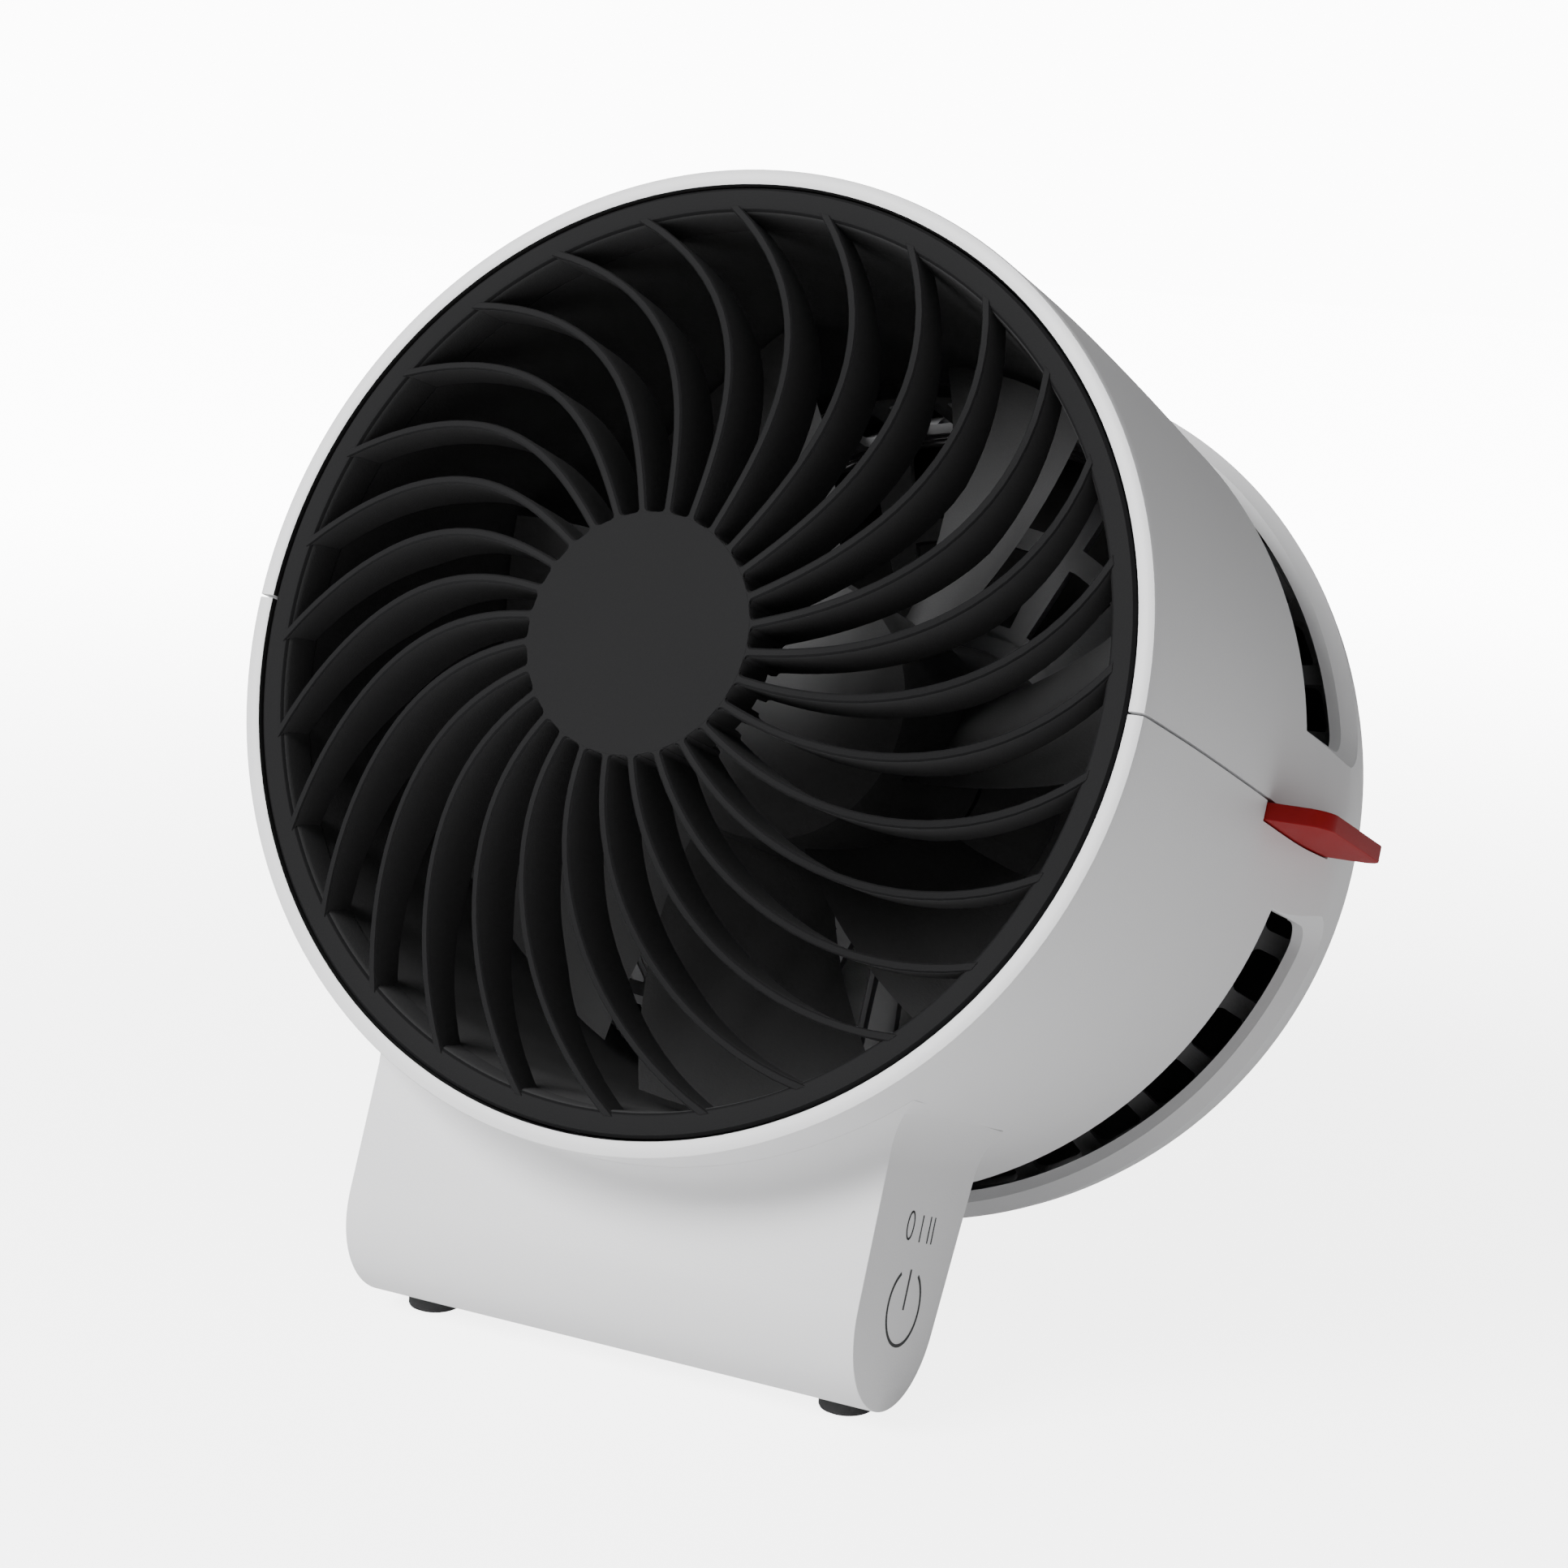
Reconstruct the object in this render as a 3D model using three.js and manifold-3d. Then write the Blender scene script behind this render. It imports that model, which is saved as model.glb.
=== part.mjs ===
// Compact air circulator fan, in millimetres.
// Every piece is drawn about the fan axis: x to the right, y up, z forward out of
// the grille, with the front rim in the plane z = 0. The finished head is then
// tipped back and stood on its three rubber feet.
import * as THREE from 'three';
import { mergeVertices } from 'three/addons/utils/BufferGeometryUtils.js';
import Module from 'manifold-3d';

const wasm = await Module();
wasm.setup();

// ---- driving dimensions ----------------------------------------------------
const TILT = 20;              // degrees the fan axis points above level
const GAP = 0.3;              // clearance between pieces that seat on each other
const SEAM = 0.4;             // open line between the two shell halves
const FACETS = 60;            // sides of the large round shapes
const SMALL_FACETS = 32;      // sides of the round shapes inside the hub

const RIM_R = 78;             // inside radius of the white front rim
const RIM_OUT_R = RIM_R + 2.9;   // outside radius of the rim
const BARREL_R = RIM_R + 3.2; // widest radius of the barrel
const BARREL_Z = -24;         // where the barrel is widest
const WAIST_R = RIM_R + 1.5;  // radius at the front edge of the intake slots
const SLOT_FRONT_Z = -85.8;
const SLOT_WIDTH = 23.2;      // front to back
const SLOT_REAR_Z = SLOT_FRONT_Z - SLOT_WIDTH;
const DOME_R = WAIST_R + 2.5; // radius of the rear dome where it starts
const DOME_Z = SLOT_REAR_Z + 3.5;
const DOME_CURVE = 62.4;      // radius of the dome's first curve
const DOME_BEND = 30;         // degrees that it turns through
const HEEL_CURVE = 39;        // tighter curve behind it
const HEEL_BEND = 80;         // degrees from the barrel where the flat back starts
const WALL = 2.4;             // shell wall
const UPPER_SLOT_START = 11.5;   // degrees above the seam
const LOWER_SLOT_START = 12.5;   // degrees below the seam
const RECESS_DEPTH = 2.6;     // bevel behind each slot
const RECESS_RUN = 4;         // extra length of the cutter that makes the bevel
const RECESS_END = 1.6;       // degrees the bevel runs past the slot's end

const FOOT_HALF_WIDTH = 47.6;
const FOOT_ROUND = 15.6;      // radius of the foot's round bottom
const FOOT_Z = -32.8;         // middle of the round
const FOOT_Y = -BARREL_R - 14;
const FOOT_REAR_LEAN = 9.8;   // degrees the rear face leans back
const FOOT_FLARE = 13;        // radius where the foot's sides run into the barrel

const PAD_R = 4.5;            // front rubber feet
const PAD_X = FOOT_HALF_WIDTH - 8.1;
const PAD_PROUD = 1.8;
const PAD_SUNK = 1.4;
const REAR_PAD_R = 7;

const COVER_WIDTH = 60;       // plate in the foot's rear face
const COVER_HEIGHT = 13;
const COVER_THICK = 2;
const BOSS_X = 24;            // screw bosses behind the plate
const BOSS_R = 3.2;
const BOSS_HOLE = 9;          // depth of their holes
const PORT_WIDTH = 9.6;       // opening for the power socket
const PORT_HEIGHT = 3.8;
const PORT_DEPTH = 7.4;
const PORT_WALL = 0.4;
const TONGUE_THICK = 0.7;
const BOARD_THICK = 1.5;
const BOARD_HALF_HEIGHT = 6;
const SENSOR_R = 7.5;
const SENSOR_THICK = 1.2;
const LEAD_R = 1;
const PASSAGE_R = 4;          // hole that the motor lead runs up through
const PASSAGE_Z = -36;

const GRILLE_RING_WIDTH = 4;
const GRILLE_RING_DEPTH = 7.2;
const GRILLE_FACE_Z = -0.4;
const HUB_DISC_R = 19.6;
const HUB_DISC_Z = 12;        // how far the grille's centre bulges forward
const HUB_DISC_DEPTH = 9;
const RIB_COUNT = 28;
const RIB_THICK = 1.35;
const RIB_DEPTH = 12;
const RIB_TWIST = 32;         // degrees each rib sweeps from hub to ring
const RIB_TURN = -2;          // degrees where the first rib leaves the hub

const DUCT_R = RIM_R - 6.8;   // bore round the impeller
const DUCT_MOUTH_R = DUCT_R + 1.8;
const DUCT_WALL = 2;
const DUCT_FRONT_Z = -8;
const DUCT_TAPER = 30;        // length of the duct's tapered mouth
const DUCT_REAR_Z = SLOT_FRONT_Z + 1.4;
const FLANGE = 2.4;           // thickness of the duct's and basket's flanges
const LEDGE = 2.4;            // thickness of the ledge that carries the duct
const DUCT_SCREWS = [35, 145, 250, 310];   // degrees round the flange

const BASKET_R = DUCT_R - 0.7;   // outside of the intake basket
const BASKET_WALL = 2;
const BASKET_WINDOWS = 36;
const BASKET_REAR_Z = SLOT_REAR_Z - 2;
const BASKET_LIP = 1.2;       // the wall's front lip sits in a step of its ring
const PLATE_WINDOWS = 18;     // in each of the two rings of the rear plate
const PLATE_HUB_R = 31;       // solid middle of the plate
const PLATE_HOLE_R = 12;
const PLATE_BAR = 1.6;        // half of the bar between the two rings
const WINDOW_SHARE = 0.33;    // half a window's width, as a share of the pitch

const HUB_R = 24;             // impeller hub
const HUB_FRONT_Z = -38;
const HUB_DEPTH = 39;
const HUB_WALL = 1.2;
const BLADE_COUNT = 7;
const BLADE_TIP_GAP = 1.4;
const BLADE_CHORD_ROOT = 27;
const BLADE_CHORD_TIP = 46;
const BLADE_PITCH_ROOT = 50;  // degrees from the plane of rotation
const BLADE_PITCH_TIP = 28;
const BLADE_THICK = 1.8;
const BLADE_CAMBER = 0.07;    // as a share of the chord
const BLADE_LEAN = 18;        // degrees the tip runs ahead of the root

const SHAFT_R = 2;
const BEARING_R = 4.6;
const BEARING_WIDTH = 4;
const TUBE_WALL = 2.1;
const CAN_WALL = 1.6;
const MAGNET_THICK = 1.9;
const AIR_GAP = 0.6;
const STATOR_DEPTH = 16;
const STATOR_YOKE = 2.6;
const TEETH = 6;
const TOOTH_HALF_WIDTH = 2;
const SHOE_THICK = 1.6;
const SHOE_SHARE = 0.4;       // half a shoe's width, as a share of the pitch
const COIL_THICK = 2.1;
const MOTOR_BOARD_THICK = 1.4;
const MOUNT_R = 27;           // foot of the motor mount
const MOUNT_SCREW_CIRCLE = 22;
const MOUNT_SCREWS = [90, 210, 330];
const SCREW_R = 1.3;
const SCREW_HEAD_R = 2.6;
const SCREW_HEAD = 1.6;
const SMALL_HEAD_R = 1.9;
const SMALL_HEAD = 1.2;

const TAB_REACH = BARREL_R + 10.1;   // outer edge of the pull tab, from the fan axis
const TAB_FRONT_Z = -66;
const TAB_LENGTH = 35.4;
const TAB_THICK = 3;
const TAB_CORNER = 3.2;
const TAB_TRAVEL = 2.5;
const HEEL_THICK = 1.4;       // lip that the spring pushes on
const PRONG_THICK = 1.6;      // catch that hangs from the upper shell
const SPRING_THICK = 0.5;
const SPRING_LOW_Y = -14.2;

const KNUCKLE_R = 2.2;
const HINGE_X = -BARREL_R - KNUCKLE_R - 0.6;
const HINGE_PIN_R = 0.9;
const HINGE_FRONT_Z = -30;
const KNUCKLE_LENGTH = 10;
const HINGE_LENGTH = 44;

// ---- finishes ----------------------------------------------------------------
const finish = (color, roughness, metalness = 0) =>
  new THREE.MeshStandardMaterial({ color, roughness, metalness });
const WHITE = finish(0xe6e6e8, 0.45);
const BLACK = finish(0x2c2c2e, 0.5);
const RED = finish(0x9c1f22, 0.4);
const RUBBER = finish(0x1c1c1d, 0.9);
const STEEL = finish(0xb9bcc0, 0.35, 1);
const COPPER = finish(0xb06a3c, 0.4, 1);
const MAGNET = finish(0x3a3a3e, 0.7, 0.3);
const BOARD = finish(0x1f5a3a, 0.6);
const CABLE = finish(0x26262a, 0.6);

// ---- solids --------------------------------------------------------------------
function weld(geometry) {
  const bare = geometry.clone();
  for (const name of ['normal', 'uv']) {
    bare.deleteAttribute(name);
  }
  const merged = mergeVertices(bare, 1e-4);
  const points = merged.attributes.position;
  const index = merged.index.array;
  const faces = [];
  let volume = 0;
  const [a, b, c] = [new THREE.Vector3(), new THREE.Vector3(), new THREE.Vector3()];
  for (let i = 0; i < index.length; i += 3) {
    const [p, q, r] = [index[i], index[i + 1], index[i + 2]];
    if (p === q || q === r || r === p) continue;
    faces.push(p, q, r);
    a.fromBufferAttribute(points, p);
    b.fromBufferAttribute(points, q);
    c.fromBufferAttribute(points, r);
    volume += a.dot(b.cross(c));
  }
  if (volume < 0) faces.reverse();
  return { points: new Float32Array(points.array), faces: new Uint32Array(faces) };
}

function solid(geometry) {
  const { points, faces } = weld(geometry);
  return new wasm.Manifold(new wasm.Mesh({ numProp: 3, vertProperties: points, triVerts: faces }));
}

function piece(name, body, material) {
  const { vertProperties, triVerts } = body.getMesh();
  const geometry = new THREE.BufferGeometry();
  geometry.setAttribute('position', new THREE.BufferAttribute(new Float32Array(vertProperties), 3));
  geometry.setIndex(new THREE.BufferAttribute(new Uint32Array(triVerts), 1));
  geometry.computeVertexNormals();
  const mesh = new THREE.Mesh(geometry, material);
  mesh.name = name;
  return mesh;
}

// A lathe about z. Each profile point is [radius, z].
function turned(profile, facets = FACETS) {
  const points = profile.map(([r, z]) => new THREE.Vector2(r, z));
  return solid(new THREE.LatheGeometry(points, facets).rotateX(Math.PI / 2));
}

function ring(inner, outer, front, rear, facets = FACETS) {
  return turned([[inner, rear], [outer, rear], [outer, front], [inner, front], [inner, rear]], facets);
}

function disc(radius, front, rear, facets = FACETS) {
  return turned([[0, rear], [radius, rear], [radius, front], [0, front]], facets);
}

function block(x, y, z) {
  const size = new THREE.BoxGeometry(x[1] - x[0], y[1] - y[0], z[1] - z[0]);
  return solid(size.translate((x[0] + x[1]) / 2, (y[0] + y[1]) / 2, (z[0] + z[1]) / 2));
}

function rod(radius, from, to, facets = 20) {
  const axis = new THREE.Vector3().subVectors(to, from);
  const turn = new THREE.Quaternion().setFromUnitVectors(
    new THREE.Vector3(0, 1, 0), axis.clone().normalize());
  const geometry = new THREE.CylinderGeometry(radius, radius, axis.length(), facets);
  geometry.applyQuaternion(turn);
  geometry.translate((from.x + to.x) / 2, (from.y + to.y) / 2, (from.z + to.z) / 2);
  return solid(geometry);
}

// An outline in x and y, pushed along z.
function slab(outline, z, curveSegments = 12) {
  const geometry = new THREE.ExtrudeGeometry(outline,
    { depth: z[1] - z[0], bevelEnabled: false, curveSegments });
  return solid(geometry.translate(0, 0, z[0]));
}

// An outline drawn as (-z, y), pushed along x.
function sideSlab(outline, x, curveSegments = 12) {
  const geometry = new THREE.ExtrudeGeometry(outline,
    { depth: x[1] - x[0], bevelEnabled: false, curveSegments });
  return solid(geometry.translate(0, 0, x[0]).rotateY(Math.PI / 2));
}

function sector(start, end, z) {
  const reach = 200;
  const outline = new THREE.Shape();
  outline.moveTo(0, 0);
  const steps = 8;
  for (let i = 0; i <= steps; i++) {
    const angle = rad(start + (end - start) * i / steps);
    outline.lineTo(reach * Math.cos(angle), reach * Math.sin(angle));
  }
  return slab(outline, z);
}

const rad = THREE.MathUtils.degToRad;
const v3 = (x, y, z) => new THREE.Vector3(x, y, z);
const onCircle = (radius, angle) => [radius * Math.cos(rad(angle)), radius * Math.sin(rad(angle))];
const DOWN = v3(0, -Math.cos(rad(TILT)), -Math.sin(rad(TILT)));

// ---- the shell's section ---------------------------------------------------------
// Radius and z of the outer surface from the rim to the middle of the back; inset
// moves every point inwards by the wall.
function domePoint(angle, inset) {
  const a = rad(angle);
  if (angle <= DOME_BEND) {
    const curve = DOME_CURVE - inset;
    return [DOME_R - DOME_CURVE + curve * Math.cos(a), DOME_Z - curve * Math.sin(a)];
  }
  const bend = rad(DOME_BEND);
  const centreR = DOME_R - DOME_CURVE + (DOME_CURVE - HEEL_CURVE) * Math.cos(bend);
  const centreZ = DOME_Z - (DOME_CURVE - HEEL_CURVE) * Math.sin(bend);
  const curve = HEEL_CURVE - inset;
  return [centreR + curve * Math.cos(a), centreZ - curve * Math.sin(a)];
}

function shellLine(inset) {
  const line = [
    [RIM_OUT_R - inset, 0],
    [BARREL_R - inset, BARREL_Z],
    [(BARREL_R + WAIST_R) / 2 + 0.2 - inset, (BARREL_Z + SLOT_FRONT_Z) / 2],
    [WAIST_R - inset, SLOT_FRONT_Z],
    [WAIST_R + 0.3 * (DOME_R - WAIST_R) - inset, SLOT_FRONT_Z + 0.5 * (DOME_Z - SLOT_FRONT_Z)],
  ];
  for (let angle = 0; angle < DOME_BEND; angle += DOME_BEND / 2) {
    line.push(domePoint(angle, inset));
  }
  for (let step = 0; step <= 3; step++) {
    line.push(domePoint(DOME_BEND + (HEEL_BEND - DOME_BEND) * step / 3, inset));
  }
  const [heelR, heelZ] = domePoint(HEEL_BEND, inset);
  const backCurve = heelR / Math.cos(rad(HEEL_BEND));
  line.push([0, heelZ - backCurve * (1 - Math.sin(rad(HEEL_BEND)))]);
  return line;
}

function shellBody() {
  const outer = shellLine(0);
  const inner = shellLine(WALL).slice(1).reverse();
  const rimDepth = GRILLE_RING_DEPTH + 0.8;
  return turned([
    ...outer.reverse(),
    [RIM_R, 0],
    [RIM_R, -rimDepth],
    [RIM_OUT_R - WALL, -rimDepth - 0.6],
    ...inner.reverse(),
  ]);
}

function slotCut(start, end) {
  const through = ring(BASKET_R + 2, 2 * BARREL_R, SLOT_FRONT_Z, SLOT_REAR_Z)
    .intersect(sector(start, end, [SLOT_REAR_Z - 1, SLOT_FRONT_Z + 1]));
  const foot = WAIST_R - 0.6;
  const run = RECESS_DEPTH + RECESS_RUN;
  const bevel = turned([
    [foot, SLOT_FRONT_Z - 2], [foot, SLOT_REAR_Z],
    [foot + run, SLOT_REAR_Z - run], [foot + run, SLOT_FRONT_Z - 2],
    [foot, SLOT_FRONT_Z - 2],
  ]).intersect(sector(start - RECESS_END, end + RECESS_END, [SLOT_REAR_Z - 2 * run, SLOT_FRONT_Z]));
  return through.add(bevel);
}

// ---- the foot ---------------------------------------------------------------------
// The side view: flat front, full round bottom and a rear face that leans back.
function footSide(inset) {
  const lean = rad(FOOT_REAR_LEAN);
  const round = FOOT_ROUND - inset;
  const frontX = -FOOT_Z - round;
  const top = -BARREL_R + 18;
  const rearStart = [-FOOT_Z + round * Math.cos(lean), FOOT_Y - round * Math.sin(lean)];
  const rearAt = (y) => rearStart[0] + (y - rearStart[1]) * Math.tan(lean);
  const outline = new THREE.Shape();
  outline.moveTo(frontX, FOOT_Y);
  outline.absarc(-FOOT_Z, FOOT_Y, round, Math.PI, 2 * Math.PI - lean, false);
  outline.lineTo(rearAt(top), top);
  outline.lineTo(frontX, top);
  return outline;
}

// The front view: straight sides that flare out until they touch the barrel.
function footFront() {
  const touch = Math.sqrt((BARREL_R + FOOT_FLARE) ** 2 - (FOOT_HALF_WIDTH + FOOT_FLARE) ** 2);
  const centreX = FOOT_HALF_WIDTH + FOOT_FLARE;
  const meet = Math.atan2(touch, -centreX);
  const outline = new THREE.Shape();
  const bottom = FOOT_Y - FOOT_ROUND - 2;
  outline.moveTo(-FOOT_HALF_WIDTH, bottom);
  outline.lineTo(FOOT_HALF_WIDTH, bottom);
  outline.absarc(centreX, -touch, FOOT_FLARE, Math.PI, meet, true);
  outline.lineTo(0, -10);
  outline.absarc(-centreX, -touch, FOOT_FLARE, Math.PI - meet, 0, true);
  return outline;
}

function footBody() {
  const across = BARREL_R;
  const side = sideSlab(footSide(0), [-across, across], 8);
  return slab(footFront(), [-70, 0], 6).intersect(side);
}

function footHollow() {
  const half = FOOT_HALF_WIDTH - WALL;
  return sideSlab(footSide(WALL), [-half, half], 8).subtract(disc(BARREL_R + 0.4, 5, -80));
}

// Lays a piece on the foot's leaning rear face: local x across, local y up the face,
// local z out of the face.
function onRearFace(body, depth) {
  const lean = rad(FOOT_REAR_LEAN);
  const middle = v3(0, FOOT_Y - FOOT_ROUND * Math.sin(lean), FOOT_Z - FOOT_ROUND * Math.cos(lean));
  const up = v3(0, Math.cos(lean), -Math.sin(lean));
  const out = v3(0, -Math.sin(lean), -Math.cos(lean));
  const place = new THREE.Matrix4().makeBasis(v3(-1, 0, 0), up, out);
  place.setPosition(middle.addScaledVector(up, COVER_HEIGHT / 2).addScaledVector(out, -depth));
  return body.transform(place.elements);
}

function coverOpening() {
  const [w, h] = [COVER_WIDTH / 2 + GAP, COVER_HEIGHT / 2 + GAP];
  return onRearFace(block([-w, w], [-h, h], [-WALL - 1, 2]), 0);
}

function coverBosses() {
  const reach = 2 * FOOT_ROUND + WALL;
  const bosses = [-BOSS_X, BOSS_X].map((x) =>
    rod(BOSS_R, v3(x, 0, -COVER_THICK - GAP), v3(x, 0, -reach), 16)
      .subtract(rod(SCREW_R + GAP, v3(x, 0, 0), v3(x, 0, -COVER_THICK - BOSS_HOLE), 12)));
  return onRearFace(bosses[0].add(bosses[1]), 0);
}

// ---- rubber feet --------------------------------------------------------------------
const footContact = v3(0, FOOT_Y, FOOT_Z).addScaledVector(DOWN, FOOT_ROUND);
const domeContact = v3(0, -(DOME_R - DOME_CURVE), DOME_Z).addScaledVector(DOWN, DOME_CURVE);
const floorDepth = footContact.dot(DOWN) + PAD_PROUD;

function padAt(x, contact, radius, grow) {
  const centre = contact.clone().setX(x);
  const proud = floorDepth - centre.dot(DOWN);
  const top = centre.clone().addScaledVector(DOWN, -PAD_SUNK - grow);
  const bottom = centre.clone().addScaledVector(DOWN, proud + 5 * grow);
  return rod(radius + grow, top, bottom, 24);
}

const PADS = [
  ['rubber_foot_left', -PAD_X, footContact, PAD_R],
  ['rubber_foot_right', PAD_X, footContact, PAD_R],
  ['rubber_foot_rear', 0, domeContact, REAR_PAD_R],
];

// ---- hinge and catch -------------------------------------------------------------------
function knuckle(front, rear, side) {
  const barrel = rod(KNUCKLE_R, v3(HINGE_X, 0, front), v3(HINGE_X, 0, rear), 16);
  const low = side > 0 ? SEAM : -KNUCKLE_R * 1.8;
  const high = side > 0 ? KNUCKLE_R * 1.8 : -SEAM;
  const arm = block([HINGE_X, -BARREL_R + 1.4], [low, high], [rear, front]);
  return barrel.add(arm);
}

function pinBore() {
  const far = HINGE_FRONT_Z - HINGE_LENGTH;
  return rod(HINGE_PIN_R + GAP, v3(HINGE_X, 0, HINGE_FRONT_Z + 1), v3(HINGE_X, 0, far - 1), 12);
}

const tabY = [-SEAM / 2 - GAP - TAB_THICK, -SEAM / 2 - GAP];
const tabRearZ = TAB_FRONT_Z - TAB_LENGTH;
const tabHeelX = BASKET_R + 0.8;      // inner end of the tab, beside the basket
const tabHeelZ = SLOT_FRONT_Z - 3.8;  // the heel starts behind the duct's flange
const prongX = [tabHeelX + 4, tabHeelX + 4 + PRONG_THICK];
const windowX = [prongX[0] - GAP - TAB_TRAVEL, prongX[1] + GAP];
const windowZ = [tabHeelZ - 6, tabHeelZ - 1.2];

function tabNotch() {
  const [low, high] = [tabY[0] - GAP, 1];
  return block([tabHeelX + 1, TAB_REACH + 2], [low, high], [tabRearZ - GAP, TAB_FRONT_Z + GAP]);
}

function catchProng() {
  const z = [windowZ[0] + GAP + 0.3, windowZ[1] - GAP - 0.3];
  const prong = block(prongX, [tabY[0] - 1.8, 12], z);
  const root = block([prongX[0], tabHeelX + 7.1], [SEAM / 2 + 3, 12], z);
  return prong.add(root);
}

// ---- the two shell halves --------------------------------------------------------------
function upperShell() {
  const half = block([-100, 100], [SEAM / 2, 100], [-200, 10]);
  const rear = HINGE_FRONT_Z - HINGE_LENGTH;
  const middle = [HINGE_FRONT_Z - KNUCKLE_LENGTH - GAP, rear + KNUCKLE_LENGTH + GAP];
  return shellBody()
    .subtract(slotCut(UPPER_SLOT_START, 180 - UPPER_SLOT_START))
    .intersect(half)
    .add(knuckle(middle[0], middle[1], 1))
    .add(catchProng())
    .subtract(pinBore());
}

function lowerShell() {
  const half = block([-100, 100], [-200, -SEAM / 2], [-200, 10]);
  const rear = HINGE_FRONT_Z - HINGE_LENGTH;
  const inside = turned([
    ...shellLine(WALL).reverse(), [RIM_R, 0], [RIM_R, 20], [0, 20],
  ]);
  const ledgeFront = DUCT_FRONT_Z - FLANGE - GAP;
  const ledge = ring(DUCT_MOUTH_R + DUCT_WALL + 0.6, RIM_R + 1, ledgeFront, ledgeFront - LEDGE)
    .intersect(half);
  let shell = shellBody()
    .add(footBody().subtract(inside))
    .subtract(footHollow())
    .subtract(slotCut(-180 + LOWER_SLOT_START, -LOWER_SLOT_START))
    .intersect(half)
    .add(ledge)
    .subtract(coverOpening())
    .add(coverBosses().intersect(footBody()))
    .add(knuckle(HINGE_FRONT_Z, HINGE_FRONT_Z - KNUCKLE_LENGTH, -1))
    .add(knuckle(rear + KNUCKLE_LENGTH, rear, -1))
    .subtract(pinBore())
    .subtract(tabNotch())
    .subtract(rod(PASSAGE_R, v3(0, -RIM_R + 2, PASSAGE_Z), v3(0, -BARREL_R - 4, PASSAGE_Z), 16));
  for (const [, x, contact, radius] of PADS) {
    shell = shell.subtract(padAt(x, contact, radius, GAP));
  }
  return shell;
}

function releaseTab() {
  const outline = new THREE.Shape();
  const seatX = WAIST_R - WALL + 0.5;
  const [front, rear, out, round] = [-TAB_FRONT_Z, -tabRearZ, TAB_REACH, TAB_CORNER];
  outline.moveTo(seatX, -front);
  outline.lineTo(seatX, tabHeelZ);
  outline.lineTo(tabHeelX, tabHeelZ);
  outline.lineTo(tabHeelX, -rear);
  outline.lineTo(out - round, -rear);
  outline.quadraticCurveTo(out, -rear, out, -rear + round);
  outline.lineTo(out, -front - round);
  outline.quadraticCurveTo(out, -front, out - round, -front);
  const window = new THREE.Path();
  window.moveTo(windowX[0], windowZ[0]);
  window.lineTo(windowX[1], windowZ[0]);
  window.lineTo(windowX[1], windowZ[1]);
  window.lineTo(windowX[0], windowZ[1]);
  outline.holes.push(window);
  const geometry = new THREE.ExtrudeGeometry(outline,
    { depth: TAB_THICK, bevelEnabled: false, curveSegments: 5 });
  // drawn in x and z: turn the outline's second axis from y to z
  const plate = solid(geometry.rotateX(Math.PI / 2).translate(0, tabY[1], 0));
  const heel = block([tabHeelX, tabHeelX + HEEL_THICK], [springY[0], tabY[1] - 0.5],
    [tabRearZ, springZ[1] + 0.4]);
  return plate.add(heel);
}

const springZ = [tabRearZ + 0.4, windowZ[0] - 0.6];
const springY = [SPRING_LOW_Y, tabY[0] - 1];

function tabSpring() {
  const thick = SPRING_THICK;
  const wallX = WAIST_R - WALL - 0.4;
  const nearX = tabHeelX + HEEL_THICK + GAP;
  const middle = (springY[0] + springY[1]) / 2;
  const [ends, bulge] = [wallX - 1.4, 2 * nearX - wallX + 1.4];
  const outline = new THREE.Shape();
  outline.moveTo(ends, springY[0] + 0.6);
  outline.quadraticCurveTo(bulge, middle, ends, springY[1] - 0.6);
  outline.lineTo(ends + thick, springY[1] - 0.6);
  outline.quadraticCurveTo(bulge + thick, middle, ends + thick, springY[0] + 0.6);
  return slab(outline, springZ, 8);
}

// ---- grille, duct and basket ---------------------------------------------------------------
const ringOuter = RIM_R - GAP;
const ringInner = ringOuter - GRILLE_RING_WIDTH;

// The grille's front surface: a soft bell from the hub disc out to the rim.
function grilleFront(radius) {
  const share = THREE.MathUtils.clamp((radius - HUB_DISC_R) / (RIM_R - HUB_DISC_R), 0, 1);
  return GRILLE_FACE_Z + (HUB_DISC_Z - GRILLE_FACE_Z) * 0.5 * (1 + Math.cos(Math.PI * share));
}

function ribAngle(radius) {
  const share = (radius - HUB_DISC_R) / (ringInner - HUB_DISC_R);
  return rad(RIB_TURN + RIB_TWIST * (0.48 * share + 0.52 * share * share));
}

function grilleRib(turn) {
  const steps = 5;
  const [from, to] = [HUB_DISC_R - 1.5, ringInner + 1];
  const corners = [];
  for (let i = 0; i <= steps; i++) {
    const radius = from + (to - from) * i / steps;
    const angle = ribAngle(radius) + turn;
    const slope = Math.atan(radius * (ribAngle(radius + 0.5) - ribAngle(radius - 0.5)));
    const half = RIB_THICK / 2 / radius / Math.cos(slope);
    const front = grilleFront(radius) - 0.05;
    const tail = Math.max(front - RIB_DEPTH, GRILLE_FACE_Z - GRILLE_RING_DEPTH + 0.2);
    for (const [side, z] of [[-1, tail], [1, tail], [1, front], [-1, front]]) {
      const at = angle + side * half;
      corners.push(radius * Math.cos(at), radius * Math.sin(at), z);
    }
  }
  return loft(corners, 4);
}

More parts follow.
